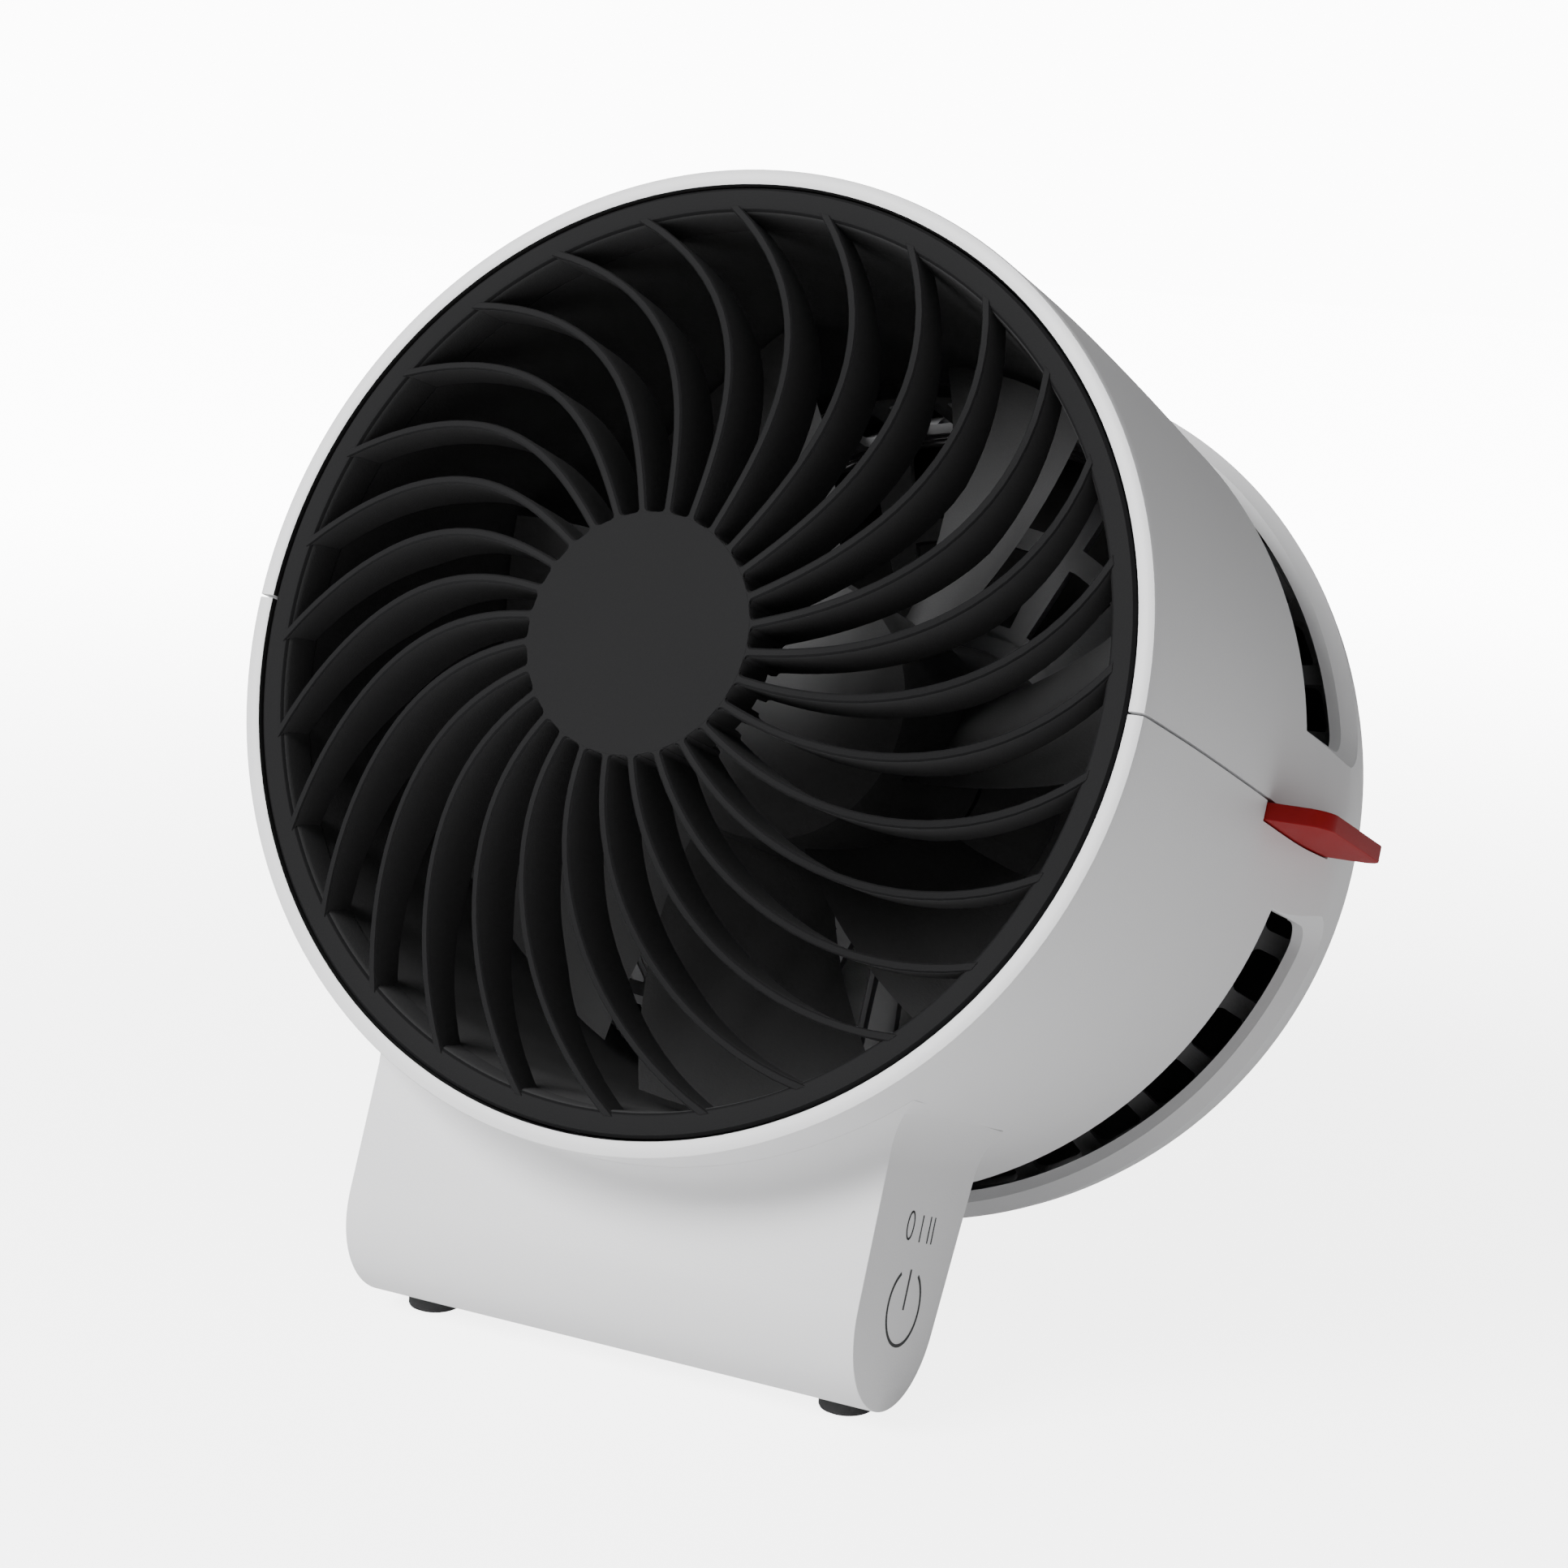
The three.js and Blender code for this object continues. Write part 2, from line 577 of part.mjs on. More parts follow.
// Joins rings of corners, one after the other, and closes both ends.
function loft(corners, sides) {
  const rings = corners.length / 3 / sides;
  const index = [];
  for (let i = 0; i < rings - 1; i++) {
    for (let j = 0; j < sides; j++) {
      const [a, b] = [i * sides + j, i * sides + (j + 1) % sides];
      index.push(a, b, b + sides, a, b + sides, a + sides);
    }
  }
  const last = (rings - 1) * sides;
  for (let j = 1; j < sides - 1; j++) {
    index.push(0, j + 1, j, last, last + j, last + j + 1);
  }
  const geometry = new THREE.BufferGeometry();
  geometry.setAttribute('position', new THREE.Float32BufferAttribute(corners, 3));
  geometry.setIndex(index);
  return solid(geometry);
}

function frontGrille() {
  const rear = GRILLE_FACE_Z - GRILLE_RING_DEPTH;
  let grille = turned([
    [ringInner + 1.4, rear], [ringOuter, rear], [ringOuter, GRILLE_FACE_Z],
    [ringInner, GRILLE_FACE_Z], [ringInner + 1.4, rear],
  ]);
  const cup = disc(HUB_DISC_R, HUB_DISC_Z, HUB_DISC_Z - HUB_DISC_DEPTH, 56)
    .subtract(disc(HUB_DISC_R - 2, HUB_DISC_Z - 2, HUB_DISC_Z - HUB_DISC_DEPTH - 1, 28));
  grille = grille.add(cup);
  for (let i = 0; i < RIB_COUNT; i++) {
    grille = grille.add(grilleRib(2 * Math.PI * i / RIB_COUNT));
  }
  return grille;
}

const flangeR = WAIST_R - WALL - GAP;
const basketFrontZ = DUCT_REAR_Z - GAP;
const screwCircle = (flangeR + DUCT_R + DUCT_WALL) / 2 + 0.1;

function leadNotch() {
  return block([-3, 3], [-flangeR - 1, -flangeR + 3.4], [basketFrontZ - FLANGE - 1, DUCT_REAR_Z + 4]);
}

function screwHoles(front, rear) {
  let holes = null;
  for (const angle of DUCT_SCREWS) {
    const [x, y] = onCircle(screwCircle, angle);
    const hole = rod(SCREW_R + GAP, v3(x, y, front), v3(x, y, rear), 8);
    holes = holes ? holes.add(hole) : hole;
  }
  return holes;
}

function airDuct() {
  const mouth = DUCT_FRONT_Z - DUCT_TAPER;
  const outer = DUCT_WALL;
  return turned([
    [DUCT_MOUTH_R, DUCT_FRONT_Z], [DUCT_R, mouth], [DUCT_R, DUCT_REAR_Z],
    [flangeR, DUCT_REAR_Z], [flangeR, DUCT_REAR_Z + FLANGE],
    [DUCT_R + outer, DUCT_REAR_Z + FLANGE], [DUCT_R + outer, mouth],
    [DUCT_MOUTH_R + outer - 0.4, DUCT_FRONT_Z - FLANGE - 2],
    [DUCT_MOUTH_R + outer - 0.4, DUCT_FRONT_Z - FLANGE],
    [RIM_R - GAP - 0.2, DUCT_FRONT_Z - FLANGE], [RIM_R - GAP - 0.2, DUCT_FRONT_Z],
    [DUCT_MOUTH_R, DUCT_FRONT_Z],
  ])
    .subtract(leadNotch())
    .subtract(screwHoles(DUCT_REAR_Z + FLANGE + 1, DUCT_REAR_Z - 1));
}

// The ring that holds the basket to the duct's rear flange.
function basketRing() {
  const inner = BASKET_R + GAP;
  const step = basketFrontZ - BASKET_LIP - GAP;
  const rear = basketFrontZ - FLANGE;
  return turned([
    [inner, step], [inner, rear], [flangeR, rear], [flangeR, basketFrontZ],
    [inner + BASKET_LIP, basketFrontZ], [inner + BASKET_LIP, step], [inner, step],
  ], BASKET_WINDOWS).rotate([0, 0, 180 / BASKET_WINDOWS])
    .subtract(screwHoles(basketFrontZ + 1, rear - 1))
    .subtract(leadNotch());
}

// The basket's pierced wall, open at both ends.
function intakeBasket() {
  const inner = BASKET_R - BASKET_WALL;
  const lipRear = basketFrontZ - BASKET_LIP;
  const pitch = 360 / BASKET_WINDOWS;
  let basket = turned([
    [inner, basketFrontZ], [inner, BASKET_REAR_Z], [BASKET_R - 1, BASKET_REAR_Z],
    [BASKET_R, BASKET_REAR_Z + 1], [BASKET_R, lipRear],
    [BASKET_R + BASKET_LIP, lipRear], [BASKET_R + BASKET_LIP, basketFrontZ],
    [inner, basketFrontZ],
  ], BASKET_WINDOWS).rotate([0, 0, pitch / 2]);
  const wallZ = [BASKET_REAR_Z + BASKET_WALL + PLATE_BAR, basketFrontZ - FLANGE - PLATE_BAR];
  const half = inner * rad(pitch) * WINDOW_SHARE;
  const window = block([inner - 3, BASKET_R + 3], [-half, half], wallZ);
  for (let i = 0; i < BASKET_WINDOWS; i++) {
    basket = basket.subtract(window.rotate([0, 0, i * pitch]));
  }
  return basket;
}

// The basket's rear plate carries the motor and has two rings of windows.
function basketPlate() {
  const outer = (BASKET_R - BASKET_WALL) * Math.cos(rad(180 / BASKET_WINDOWS)) - GAP;
  const front = BASKET_REAR_Z + BASKET_WALL;
  const barR = 0.52 * (outer + PLATE_HUB_R);
  const bands = [[PLATE_HUB_R + 3, barR - PLATE_BAR], [barR + PLATE_BAR, outer - 4]];
  let plate = ring(PLATE_HOLE_R, outer, front, BASKET_REAR_Z, BASKET_WINDOWS)
    .rotate([0, 0, 180 / BASKET_WINDOWS])
    .subtract(mountScrewHoles(BASKET_REAR_Z - 1, front + 1));
  for (let i = 0; i < PLATE_WINDOWS; i++) {
    for (const [near, far] of bands) {
      plate = plate.subtract(plateWindow(near, far, 360 * i / PLATE_WINDOWS));
    }
  }
  return plate;
}

function plateWindow(near, far, angle) {
  const share = WINDOW_SHARE * 2 * Math.PI / PLATE_WINDOWS;
  const outline = new THREE.Shape();
  outline.moveTo(near, -near * share);
  outline.lineTo(far, -far * share);
  outline.lineTo(far, far * share);
  outline.lineTo(near, near * share);
  return slab(outline, [BASKET_REAR_Z - 1, BASKET_REAR_Z + BASKET_WALL + 1]).rotate([0, 0, angle]);
}

// ---- motor -------------------------------------------------------------------------------
const mountRearZ = BASKET_REAR_Z + BASKET_WALL + GAP;
const hubRearZ = HUB_FRONT_Z - HUB_DEPTH;
const mountFrontZ = hubRearZ - 4;
const tubeOuter = BEARING_R + GAP + TUBE_WALL;
const canOuter = HUB_R - HUB_WALL - GAP;
const canFrontZ = HUB_FRONT_Z - 8;
const canInner = canOuter - CAN_WALL;
const magnetOuter = canInner - GAP;
const magnetInner = magnetOuter - MAGNET_THICK;
const statorOuter = magnetInner - AIR_GAP;
const tubeFrontZ = canFrontZ - CAN_WALL - 2;
const statorFrontZ = tubeFrontZ - 4.5;
const statorRearZ = statorFrontZ - STATOR_DEPTH;
const shaftFrontZ = HUB_FRONT_Z - 3.4;
const shaftRearZ = mountFrontZ - FLANGE - 4;

function mountScrewHoles(front, rear) {
  let holes = null;
  for (const angle of MOUNT_SCREWS) {
    const [x, y] = onCircle(MOUNT_SCREW_CIRCLE, angle);
    const hole = rod(SCREW_R + GAP, v3(x, y, front), v3(x, y, rear), 8);
    holes = holes ? holes.add(hole) : hole;
  }
  return holes;
}

function motorMount() {
  const bore = BEARING_R + GAP;
  return turned([
    [bore, tubeFrontZ], [tubeOuter, tubeFrontZ], [tubeOuter, mountFrontZ],
    [MOUNT_R - 4, mountFrontZ], [MOUNT_R, mountRearZ],
    [MOUNT_SCREW_CIRCLE - 4, mountRearZ], [MOUNT_SCREW_CIRCLE - 4, mountRearZ + FLANGE],
    [MOUNT_R - 3, mountRearZ + FLANGE], [MOUNT_R - 6.4, mountFrontZ - FLANGE],
    [bore, mountFrontZ - FLANGE], [bore, tubeFrontZ],
  ], 28).subtract(mountScrewHoles(mountRearZ + FLANGE + 1, mountRearZ - 1));
}

function statorCore() {
  const root = tubeOuter + GAP;
  let core = ring(root, root + STATOR_YOKE, statorFrontZ, statorRearZ, 24);
  const shoe = ring(statorOuter - SHOE_THICK, statorOuter, statorFrontZ, statorRearZ, SMALL_FACETS);
  const share = 360 / TEETH;
  for (let i = 0; i < TEETH; i++) {
    const turn = i * share;
    const neck = block([root + 1.5, statorOuter - 1], [-TOOTH_HALF_WIDTH, TOOTH_HALF_WIDTH],
      [statorRearZ, statorFrontZ]);
    core = core.add(neck.rotate([0, 0, turn]));
    core = core.add(shoe.intersect(sector(turn - share * SHOE_SHARE, turn + share * SHOE_SHARE,
      [statorRearZ - 1, statorFrontZ + 1])));
  }
  return core;
}

function statorCoil(turn) {
  const root = tubeOuter + GAP;
  const x = [root + STATOR_YOKE + 2 * GAP, statorOuter - SHOE_THICK - 4 * GAP];
  const thick = COIL_THICK;
  const [inY, inZ] = [TOOTH_HALF_WIDTH + GAP, GAP];
  const outer = block(x, [-inY - thick, inY + thick],
    [statorRearZ - inZ - thick, statorFrontZ + inZ + thick]);
  const inner = block([x[0] - 1, x[1] + 1], [-inY, inY], [statorRearZ - inZ, statorFrontZ + inZ]);
  return outer.subtract(inner).rotate([0, 0, turn]);
}

function rotorCan() {
  return turned([
    [SHAFT_R + GAP, canFrontZ], [canOuter, canFrontZ], [canOuter, hubRearZ + 1],
    [canInner, hubRearZ + 1], [canInner, canFrontZ - CAN_WALL],
    [SHAFT_R + GAP, canFrontZ - CAN_WALL], [SHAFT_R + GAP, canFrontZ],
  ], SMALL_FACETS);
}

function bladeSection(radius, share) {
  const pitch = rad(BLADE_PITCH_ROOT + (BLADE_PITCH_TIP - BLADE_PITCH_ROOT) * share);
  const chord = BLADE_CHORD_ROOT + (BLADE_CHORD_TIP - BLADE_CHORD_ROOT) * share;
  const middleZ = (HUB_FRONT_Z + hubRearZ) / 2;
  const lean = rad(BLADE_LEAN) * share;
  const corners = [];
  const stations = [-0.5, -0.2, 0.15, 0.5];
  const sides = [...stations.map((t) => [t, 1]), ...stations.slice(1, 3).reverse().map((t) => [t, -1])];
  for (const [t, side] of sides) {
    const camber = BLADE_CAMBER * chord * (1 - 4 * t * t);
    const half = Math.abs(t) === 0.5 ? 0 : side * BLADE_THICK / 2;
    const along = t * chord;
    const across = camber + half;
    const arc = (along * Math.cos(pitch) - across * Math.sin(pitch)) / radius + lean;
    const z = middleZ - along * Math.sin(pitch) - across * Math.cos(pitch);
    corners.push(radius * Math.cos(arc), radius * Math.sin(arc), z);
  }
  return corners;
}

function impeller() {
  const inner = HUB_R - HUB_WALL;
  const nose = HUB_FRONT_Z;
  let body = turned([
    [SHAFT_R + GAP, nose - 4], [SHAFT_R + GAP, canFrontZ + GAP], [7, canFrontZ + GAP],
    [7, nose - 3], [inner, nose - 4], [inner, hubRearZ], [HUB_R, hubRearZ],
    [HUB_R, nose - 5], [HUB_R - 4, nose - 1.4], [HUB_R - 12, nose], [0, nose],
    [0, nose - 3.1], [SHAFT_R + GAP, nose - 3.1], [SHAFT_R + GAP, nose - 4],
  ], SMALL_FACETS);
  const steps = 4;
  const tip = DUCT_R - BLADE_TIP_GAP;
  const root = HUB_R - 0.8;
  let blade = [];
  for (let i = 0; i <= steps; i++) {
    blade = blade.concat(bladeSection(root + (tip - root) * i / steps, i / steps));
  }
  const one = loft(blade, 6).subtract(disc(inner + 0.2, 0, -130, 48));
  for (let i = 0; i < BLADE_COUNT; i++) {
    body = body.add(one.rotate([0, 0, 360 * i / BLADE_COUNT]));
  }
  return body;
}

function bearing(front) {
  return ring(SHAFT_R + GAP, BEARING_R, front, front - BEARING_WIDTH, 24);
}

function screw(x, y, headZ, pointZ) {
  const way = Math.sign(pointZ - headZ);
  const head = rod(SCREW_HEAD_R, v3(x, y, headZ - way * SCREW_HEAD), v3(x, y, headZ), 12);
  return head.add(rod(SCREW_R, v3(x, y, headZ - way * 0.5), v3(x, y, pointZ), 8));
}

// ---- electrics ------------------------------------------------------------------------------
function powerSocket() {
  const [w, h] = [PORT_WIDTH / 2 - GAP, PORT_HEIGHT / 2 - GAP];
  const t = PORT_WALL;
  const can = block([-w, w], [-h, h], [-PORT_DEPTH, 0])
    .subtract(block([-w + t, w - t], [-h + t, h - t], [-PORT_DEPTH + 1, 1]));
  const tongue = block([-w + 1, w - 1], [-TONGUE_THICK / 2, TONGUE_THICK / 2], [-PORT_DEPTH + 0.5, -1]);
  return onRearFace(can.add(tongue), 0.4);
}

function footCover() {
  const [w, h] = [COVER_WIDTH / 2, COVER_HEIGHT / 2];
  let cover = block([-w, w], [-h, h], [-COVER_THICK, 0]);
  cover = cover.subtract(block([-PORT_WIDTH / 2, PORT_WIDTH / 2], [-PORT_HEIGHT / 2, PORT_HEIGHT / 2],
    [-COVER_THICK - 1, 1]));
  for (const x of [-BOSS_X, BOSS_X]) {
    cover = cover.subtract(rod(SCREW_R + GAP, v3(x, 0, -COVER_THICK - 1), v3(x, 0, 1), 12));
  }
  return onRearFace(cover, 0);
}

function controlBoard() {
  const w = BOSS_X - BOSS_R - GAP;
  const face = -PORT_DEPTH - GAP - PORT_WALL;
  return onRearFace(block([-w, w], [-BOARD_HALF_HEIGHT, BOARD_HALF_HEIGHT],
    [face - BOARD_THICK, face]), 0);
}

function coverScrew(x) {
  const head = rod(SCREW_HEAD_R, v3(x, 0, GAP), v3(x, 0, GAP + SMALL_HEAD), 14);
  return onRearFace(head.add(rod(SCREW_R, v3(x, 0, GAP + 0.5), v3(x, 0, -COVER_THICK - 7), 10)), 0);
}

function touchSensor() {
  const wall = FOOT_HALF_WIDTH - WALL - GAP;
  const y = FOOT_Y + 2;
  return rod(SENSOR_R, v3(wall - SENSOR_THICK, y, FOOT_Z), v3(wall, y, FOOT_Z), 24);
}

// The lead runs up out of the foot, back between duct and shell, in through a basket
// window and up to the motor mount. The points are its bends.
function motorLead() {
  const run = (DUCT_R + DUCT_WALL + WAIST_R - WALL) / 2;
  const way = [
    [FOOT_Y + 4, PASSAGE_Z - 1], [-BARREL_R - 1, PASSAGE_Z - 1], [-run - 1.4, PASSAGE_Z - 4],
    [-run, PASSAGE_Z - 16], [-run, DUCT_REAR_Z + 8], [-run, DUCT_REAR_Z - 2],
    [-run + 2, DUCT_REAR_Z - 9], [-BASKET_R + 6, DUCT_REAR_Z - 15], [-MOUNT_R - 16, DUCT_REAR_Z - 17],
    [-MOUNT_R - 2, DUCT_REAR_Z - 17],
  ];
  const path = new THREE.CatmullRomCurve3(way.map(([y, z]) => v3(0, y, z)), false, 'centripetal');
  const section = new THREE.Shape();
  section.absarc(0, 0, LEAD_R, 0, 2 * Math.PI, false);
  return solid(new THREE.ExtrudeGeometry(section,
    { steps: 28, curveSegments: 3, extrudePath: path, bevelEnabled: false }));
}

// ---- the whole fan ----------------------------------------------------------------------------
function buildHead() {
  const head = new THREE.Group();
  const put = (name, body, material) => head.add(piece(name, body, material));
  put('lower_shell', lowerShell(), WHITE);
  put('upper_shell', upperShell(), WHITE);
  put('front_grille', frontGrille(), BLACK);
  put('air_duct', airDuct(), BLACK);
  put('basket_ring', basketRing(), BLACK);
  put('intake_basket', intakeBasket(), BLACK);
  put('basket_plate', basketPlate(), BLACK);
  put('impeller', impeller(), BLACK);
  put('motor_mount', motorMount(), BLACK);
  put('rotor_can', rotorCan(), STEEL);
  put('ring_magnet',
    ring(magnetInner, magnetOuter, statorFrontZ + 1, statorRearZ - 1, SMALL_FACETS), MAGNET);
  put('motor_shaft', disc(SHAFT_R, shaftFrontZ, shaftRearZ, 16), STEEL);
  put('front_bearing', bearing(tubeFrontZ - 0.6), STEEL);
  put('rear_bearing', bearing(mountFrontZ + 2.6), STEEL);
  put('shaft_clip', ring(SHAFT_R + GAP, 4, shaftRearZ + 1.6, shaftRearZ + 0.8, 20), STEEL);
  put('stator_core', statorCore(), STEEL);
  for (let i = 0; i < TEETH; i++) {
    put(`stator_coil_${i + 1}`, statorCoil(360 * i / TEETH), COPPER);
  }
  const boardZ = statorRearZ - 4;
  put('motor_board', ring(tubeOuter + GAP, statorOuter - 2, boardZ, boardZ - MOTOR_BOARD_THICK, 36),
    BOARD);
  MOUNT_SCREWS.forEach((angle, i) => {
    const [x, y] = onCircle(MOUNT_SCREW_CIRCLE, angle);
    put(`motor_screw_${i + 1}`, screw(x, y, BASKET_REAR_Z - GAP, mountRearZ + FLANGE + 2), STEEL);
  });
  DUCT_SCREWS.forEach((angle, i) => {
    const [x, y] = onCircle(screwCircle, angle);
    put(`duct_screw_${i + 1}`, smallScrew(x, y), STEEL);
  });
  put('release_tab', releaseTab(), RED);
  put('tab_spring', tabSpring(), STEEL);
  const far = HINGE_FRONT_Z - HINGE_LENGTH;
  put('hinge_pin', rod(HINGE_PIN_R, v3(HINGE_X, 0, HINGE_FRONT_Z), v3(HINGE_X, 0, far), 12), STEEL);
  put('foot_cover', footCover(), WHITE);
  put('cover_screw_left', coverScrew(-BOSS_X), STEEL);
  put('cover_screw_right', coverScrew(BOSS_X), STEEL);
  put('power_socket', powerSocket(), STEEL);
  put('control_board', controlBoard(), BOARD);
  put('touch_sensor', touchSensor(), COPPER);
  put('motor_lead', motorLead(), CABLE);
  for (const [name, x, contact, radius] of PADS) {
    put(name, padAt(x, contact, radius, 0), RUBBER);
  }
  return head;
}

function smallScrew(x, y) {
  const headZ = basketFrontZ - FLANGE - GAP;
  const head = rod(SMALL_HEAD_R, v3(x, y, headZ), v3(x, y, headZ - SMALL_HEAD), 10);
  return head.add(rod(SCREW_R, v3(x, y, headZ - 0.5), v3(x, y, DUCT_REAR_Z + FLANGE), 8));
}

const fan = new THREE.Group();
const head = buildHead();
head.rotation.x = rad(90 - TILT);
fan.add(head);
fan.updateMatrixWorld(true);
const bounds = new THREE.Box3().setFromObject(fan, true);
const middle = bounds.getCenter(new THREE.Vector3());
head.position.set(-middle.x, -middle.y, -bounds.min.z);
fan.updateMatrixWorld(true);

export default fan;
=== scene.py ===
import math

import bmesh
import bpy
from mathutils import Matrix, Vector


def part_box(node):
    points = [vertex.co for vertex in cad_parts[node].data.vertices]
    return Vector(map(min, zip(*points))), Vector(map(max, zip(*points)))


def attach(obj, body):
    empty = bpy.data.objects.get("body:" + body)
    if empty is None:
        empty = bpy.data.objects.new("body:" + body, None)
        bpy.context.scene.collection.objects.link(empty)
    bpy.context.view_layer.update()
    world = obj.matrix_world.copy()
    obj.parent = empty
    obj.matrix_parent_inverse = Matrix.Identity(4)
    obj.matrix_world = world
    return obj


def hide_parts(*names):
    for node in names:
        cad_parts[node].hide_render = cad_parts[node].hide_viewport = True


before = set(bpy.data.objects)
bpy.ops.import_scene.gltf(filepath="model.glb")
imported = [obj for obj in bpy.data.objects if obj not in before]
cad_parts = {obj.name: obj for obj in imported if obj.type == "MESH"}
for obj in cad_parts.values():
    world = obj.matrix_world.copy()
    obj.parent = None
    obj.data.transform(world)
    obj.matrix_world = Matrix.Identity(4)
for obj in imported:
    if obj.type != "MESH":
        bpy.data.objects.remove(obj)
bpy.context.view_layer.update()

# Where the fan stands. Its head is drawn about its own axis, in millimetres: x right,
# y up, z forward, with the front rim in the plane z = 0. It is then tipped back and
# set on the table.
HEAD_TILT = math.radians(20)
RIM_CENTRE = Vector((-0.00255, -0.067417, 0.118077))
RIM_R = 78
LEAN, RISE = math.cos(HEAD_TILT), math.sin(HEAD_TILT)
HEAD_TURN = Matrix(((1, 0, 0), (0, RISE, -LEAN), (0, LEAN, RISE)))
FROM_HEAD = Matrix.Translation(RIM_CENTRE) @ HEAD_TURN.to_4x4() @ Matrix.Scale(0.001, 4)

# The camera stands to the right of the fan and looks slightly up along its axis, on a
# long lens.
CAMERA_AT = Vector((252.5, -76.7, 449.6))
CAMERA_RIGHT = Vector((0.8831067, 0.2082840, -0.4204049))
CAMERA_UP = Vector((-0.1363003, 0.9713051, 0.1949066))
camera = bpy.data.objects.new("camera", bpy.data.cameras.new("camera"))
camera.data.lens = 75
camera.data.sensor_width = 36
camera.data.clip_start = 0.01
axes = [HEAD_TURN @ side for side in (CAMERA_RIGHT, CAMERA_UP, CAMERA_RIGHT.cross(CAMERA_UP))]
camera.matrix_world = (Matrix.Translation(FROM_HEAD @ CAMERA_AT)
                       @ Matrix(axes).transposed().to_4x4())
bpy.context.scene.collection.objects.link(camera)
bpy.context.scene.camera = camera


# The table top and the studio round it: a pale sheet that fades into a white
# background, a large soft light in front on the left and a weak one overhead.
def node(tree, kind, **inputs):
    """Adds a shader node and sets the inputs named, with _ for a space."""
    made = tree.nodes.new(kind)
    for name, value in inputs.items():
        made.inputs[name.replace("_", " ")].default_value = value
    return made


def principled(name, **inputs):
    """A material with its shader, and the tree that holds it."""
    material = bpy.data.materials.new(name)
    material.use_nodes = True
    tree = material.node_tree
    shader = tree.nodes["Principled BSDF"]
    for key, value in inputs.items():
        shader.inputs[key.replace("_", " ")].default_value = value
    return material, tree, shader


paper, tree, shader = principled("table paper", Roughness=0.75)
grain = node(tree, "ShaderNodeTexNoise", Scale=900.0, Detail=3.0)
place = tree.nodes.new("ShaderNodeTexCoord")
tint = tree.nodes.new("ShaderNodeValToRGB")
tint.color_ramp.elements[0].color = (0.70, 0.70, 0.70, 1)
tint.color_ramp.elements[1].color = (0.74, 0.74, 0.74, 1)
tree.links.new(place.outputs["Object"], grain.inputs["Vector"])
tree.links.new(grain.outputs["Fac"], tint.inputs["Fac"])
tree.links.new(tint.outputs["Color"], shader.inputs["Base Color"])
# Away from the fan the sheet is burnt out, so that it fades into the background. That
# glow is only seen and lights nothing. The sheet is also lit faintly from beneath.
FADE_NEAR, FADE_FAR, FADE_GLOW = 0.05, 1.2, 12.0
FADE_LEAST = 0.35
FROM_BENEATH = 0.022
middle = tree.nodes.new("ShaderNodeVectorMath")
middle.operation = "LENGTH"
fade = tree.nodes.new("ShaderNodeMapRange")
fade.interpolation_type = "SMOOTHSTEP"
fade.inputs["From Min"].default_value = FADE_NEAR
fade.inputs["From Max"].default_value = FADE_FAR
fade.inputs["To Min"].default_value = FADE_LEAST
ray = tree.nodes.new("ShaderNodeLightPath")
burnt = tree.nodes.new("ShaderNodeMath")
burnt.operation = "MULTIPLY_ADD"
burnt.inputs[2].default_value = FROM_BENEATH
tree.links.new(place.outputs["Object"], middle.inputs[0])
tree.links.new(middle.outputs["Value"], fade.inputs["Value"])
tree.links.new(fade.outputs["Result"], burnt.inputs[0])
tree.links.new(ray.outputs["Is Camera Ray"], burnt.inputs[1])
tree.links.new(burnt.outputs["Value"], shader.inputs["Emission Color"])
shader.inputs["Emission Strength"].default_value = FADE_GLOW

sheet = bmesh.new()
bmesh.ops.create_grid(sheet, x_segments=4, y_segments=4, size=4.0)
floor_mesh = bpy.data.meshes.new("floor")
sheet.to_mesh(floor_mesh)
sheet.free()
floor_mesh.materials.append(paper)
floor = bpy.data.objects.new("floor", floor_mesh)
bpy.context.scene.collection.objects.link(floor)

# The camera sees the background as plain white; the fan is lit by a softer glow.
GLOW, BACKDROP = 0.19, 12.0
world = bpy.data.worlds.new("studio")
bpy.context.scene.world = world
world.use_nodes = True
sky = world.node_tree
glow = sky.nodes["Background"]
glow.inputs["Color"].default_value = (1, 1, 1, 1)
glow.inputs["Strength"].default_value = GLOW
backdrop = node(sky, "ShaderNodeBackground", Color=(1, 1, 1, 1), Strength=BACKDROP)
seen = sky.nodes.new("ShaderNodeLightPath")
either = sky.nodes.new("ShaderNodeMixShader")
sky.links.new(seen.outputs["Is Camera Ray"], either.inputs[0])
sky.links.new(glow.outputs["Background"], either.inputs[1])
sky.links.new(backdrop.outputs["Background"], either.inputs[2])
sky.links.new(either.outputs["Shader"], sky.nodes["World Output"].inputs["Surface"])

LIGHTS = [
    ("key", (-0.55, -1.25, 1.1), 0.7, 49),
    ("top", (0.1, 0.1, 1.4), 1.0, 2),
]
for name, at, size, watts in LIGHTS:
    lamp = bpy.data.lights.new(name, "AREA")
    lamp.size = size
    lamp.energy = watts
    light = bpy.data.objects.new(name, lamp)
    light.location = at
    light.rotation_euler = (Vector((0, 0, 0.09)) - light.location).to_track_quat("-Z", "Y").to_euler()
    bpy.context.scene.collection.objects.link(light)


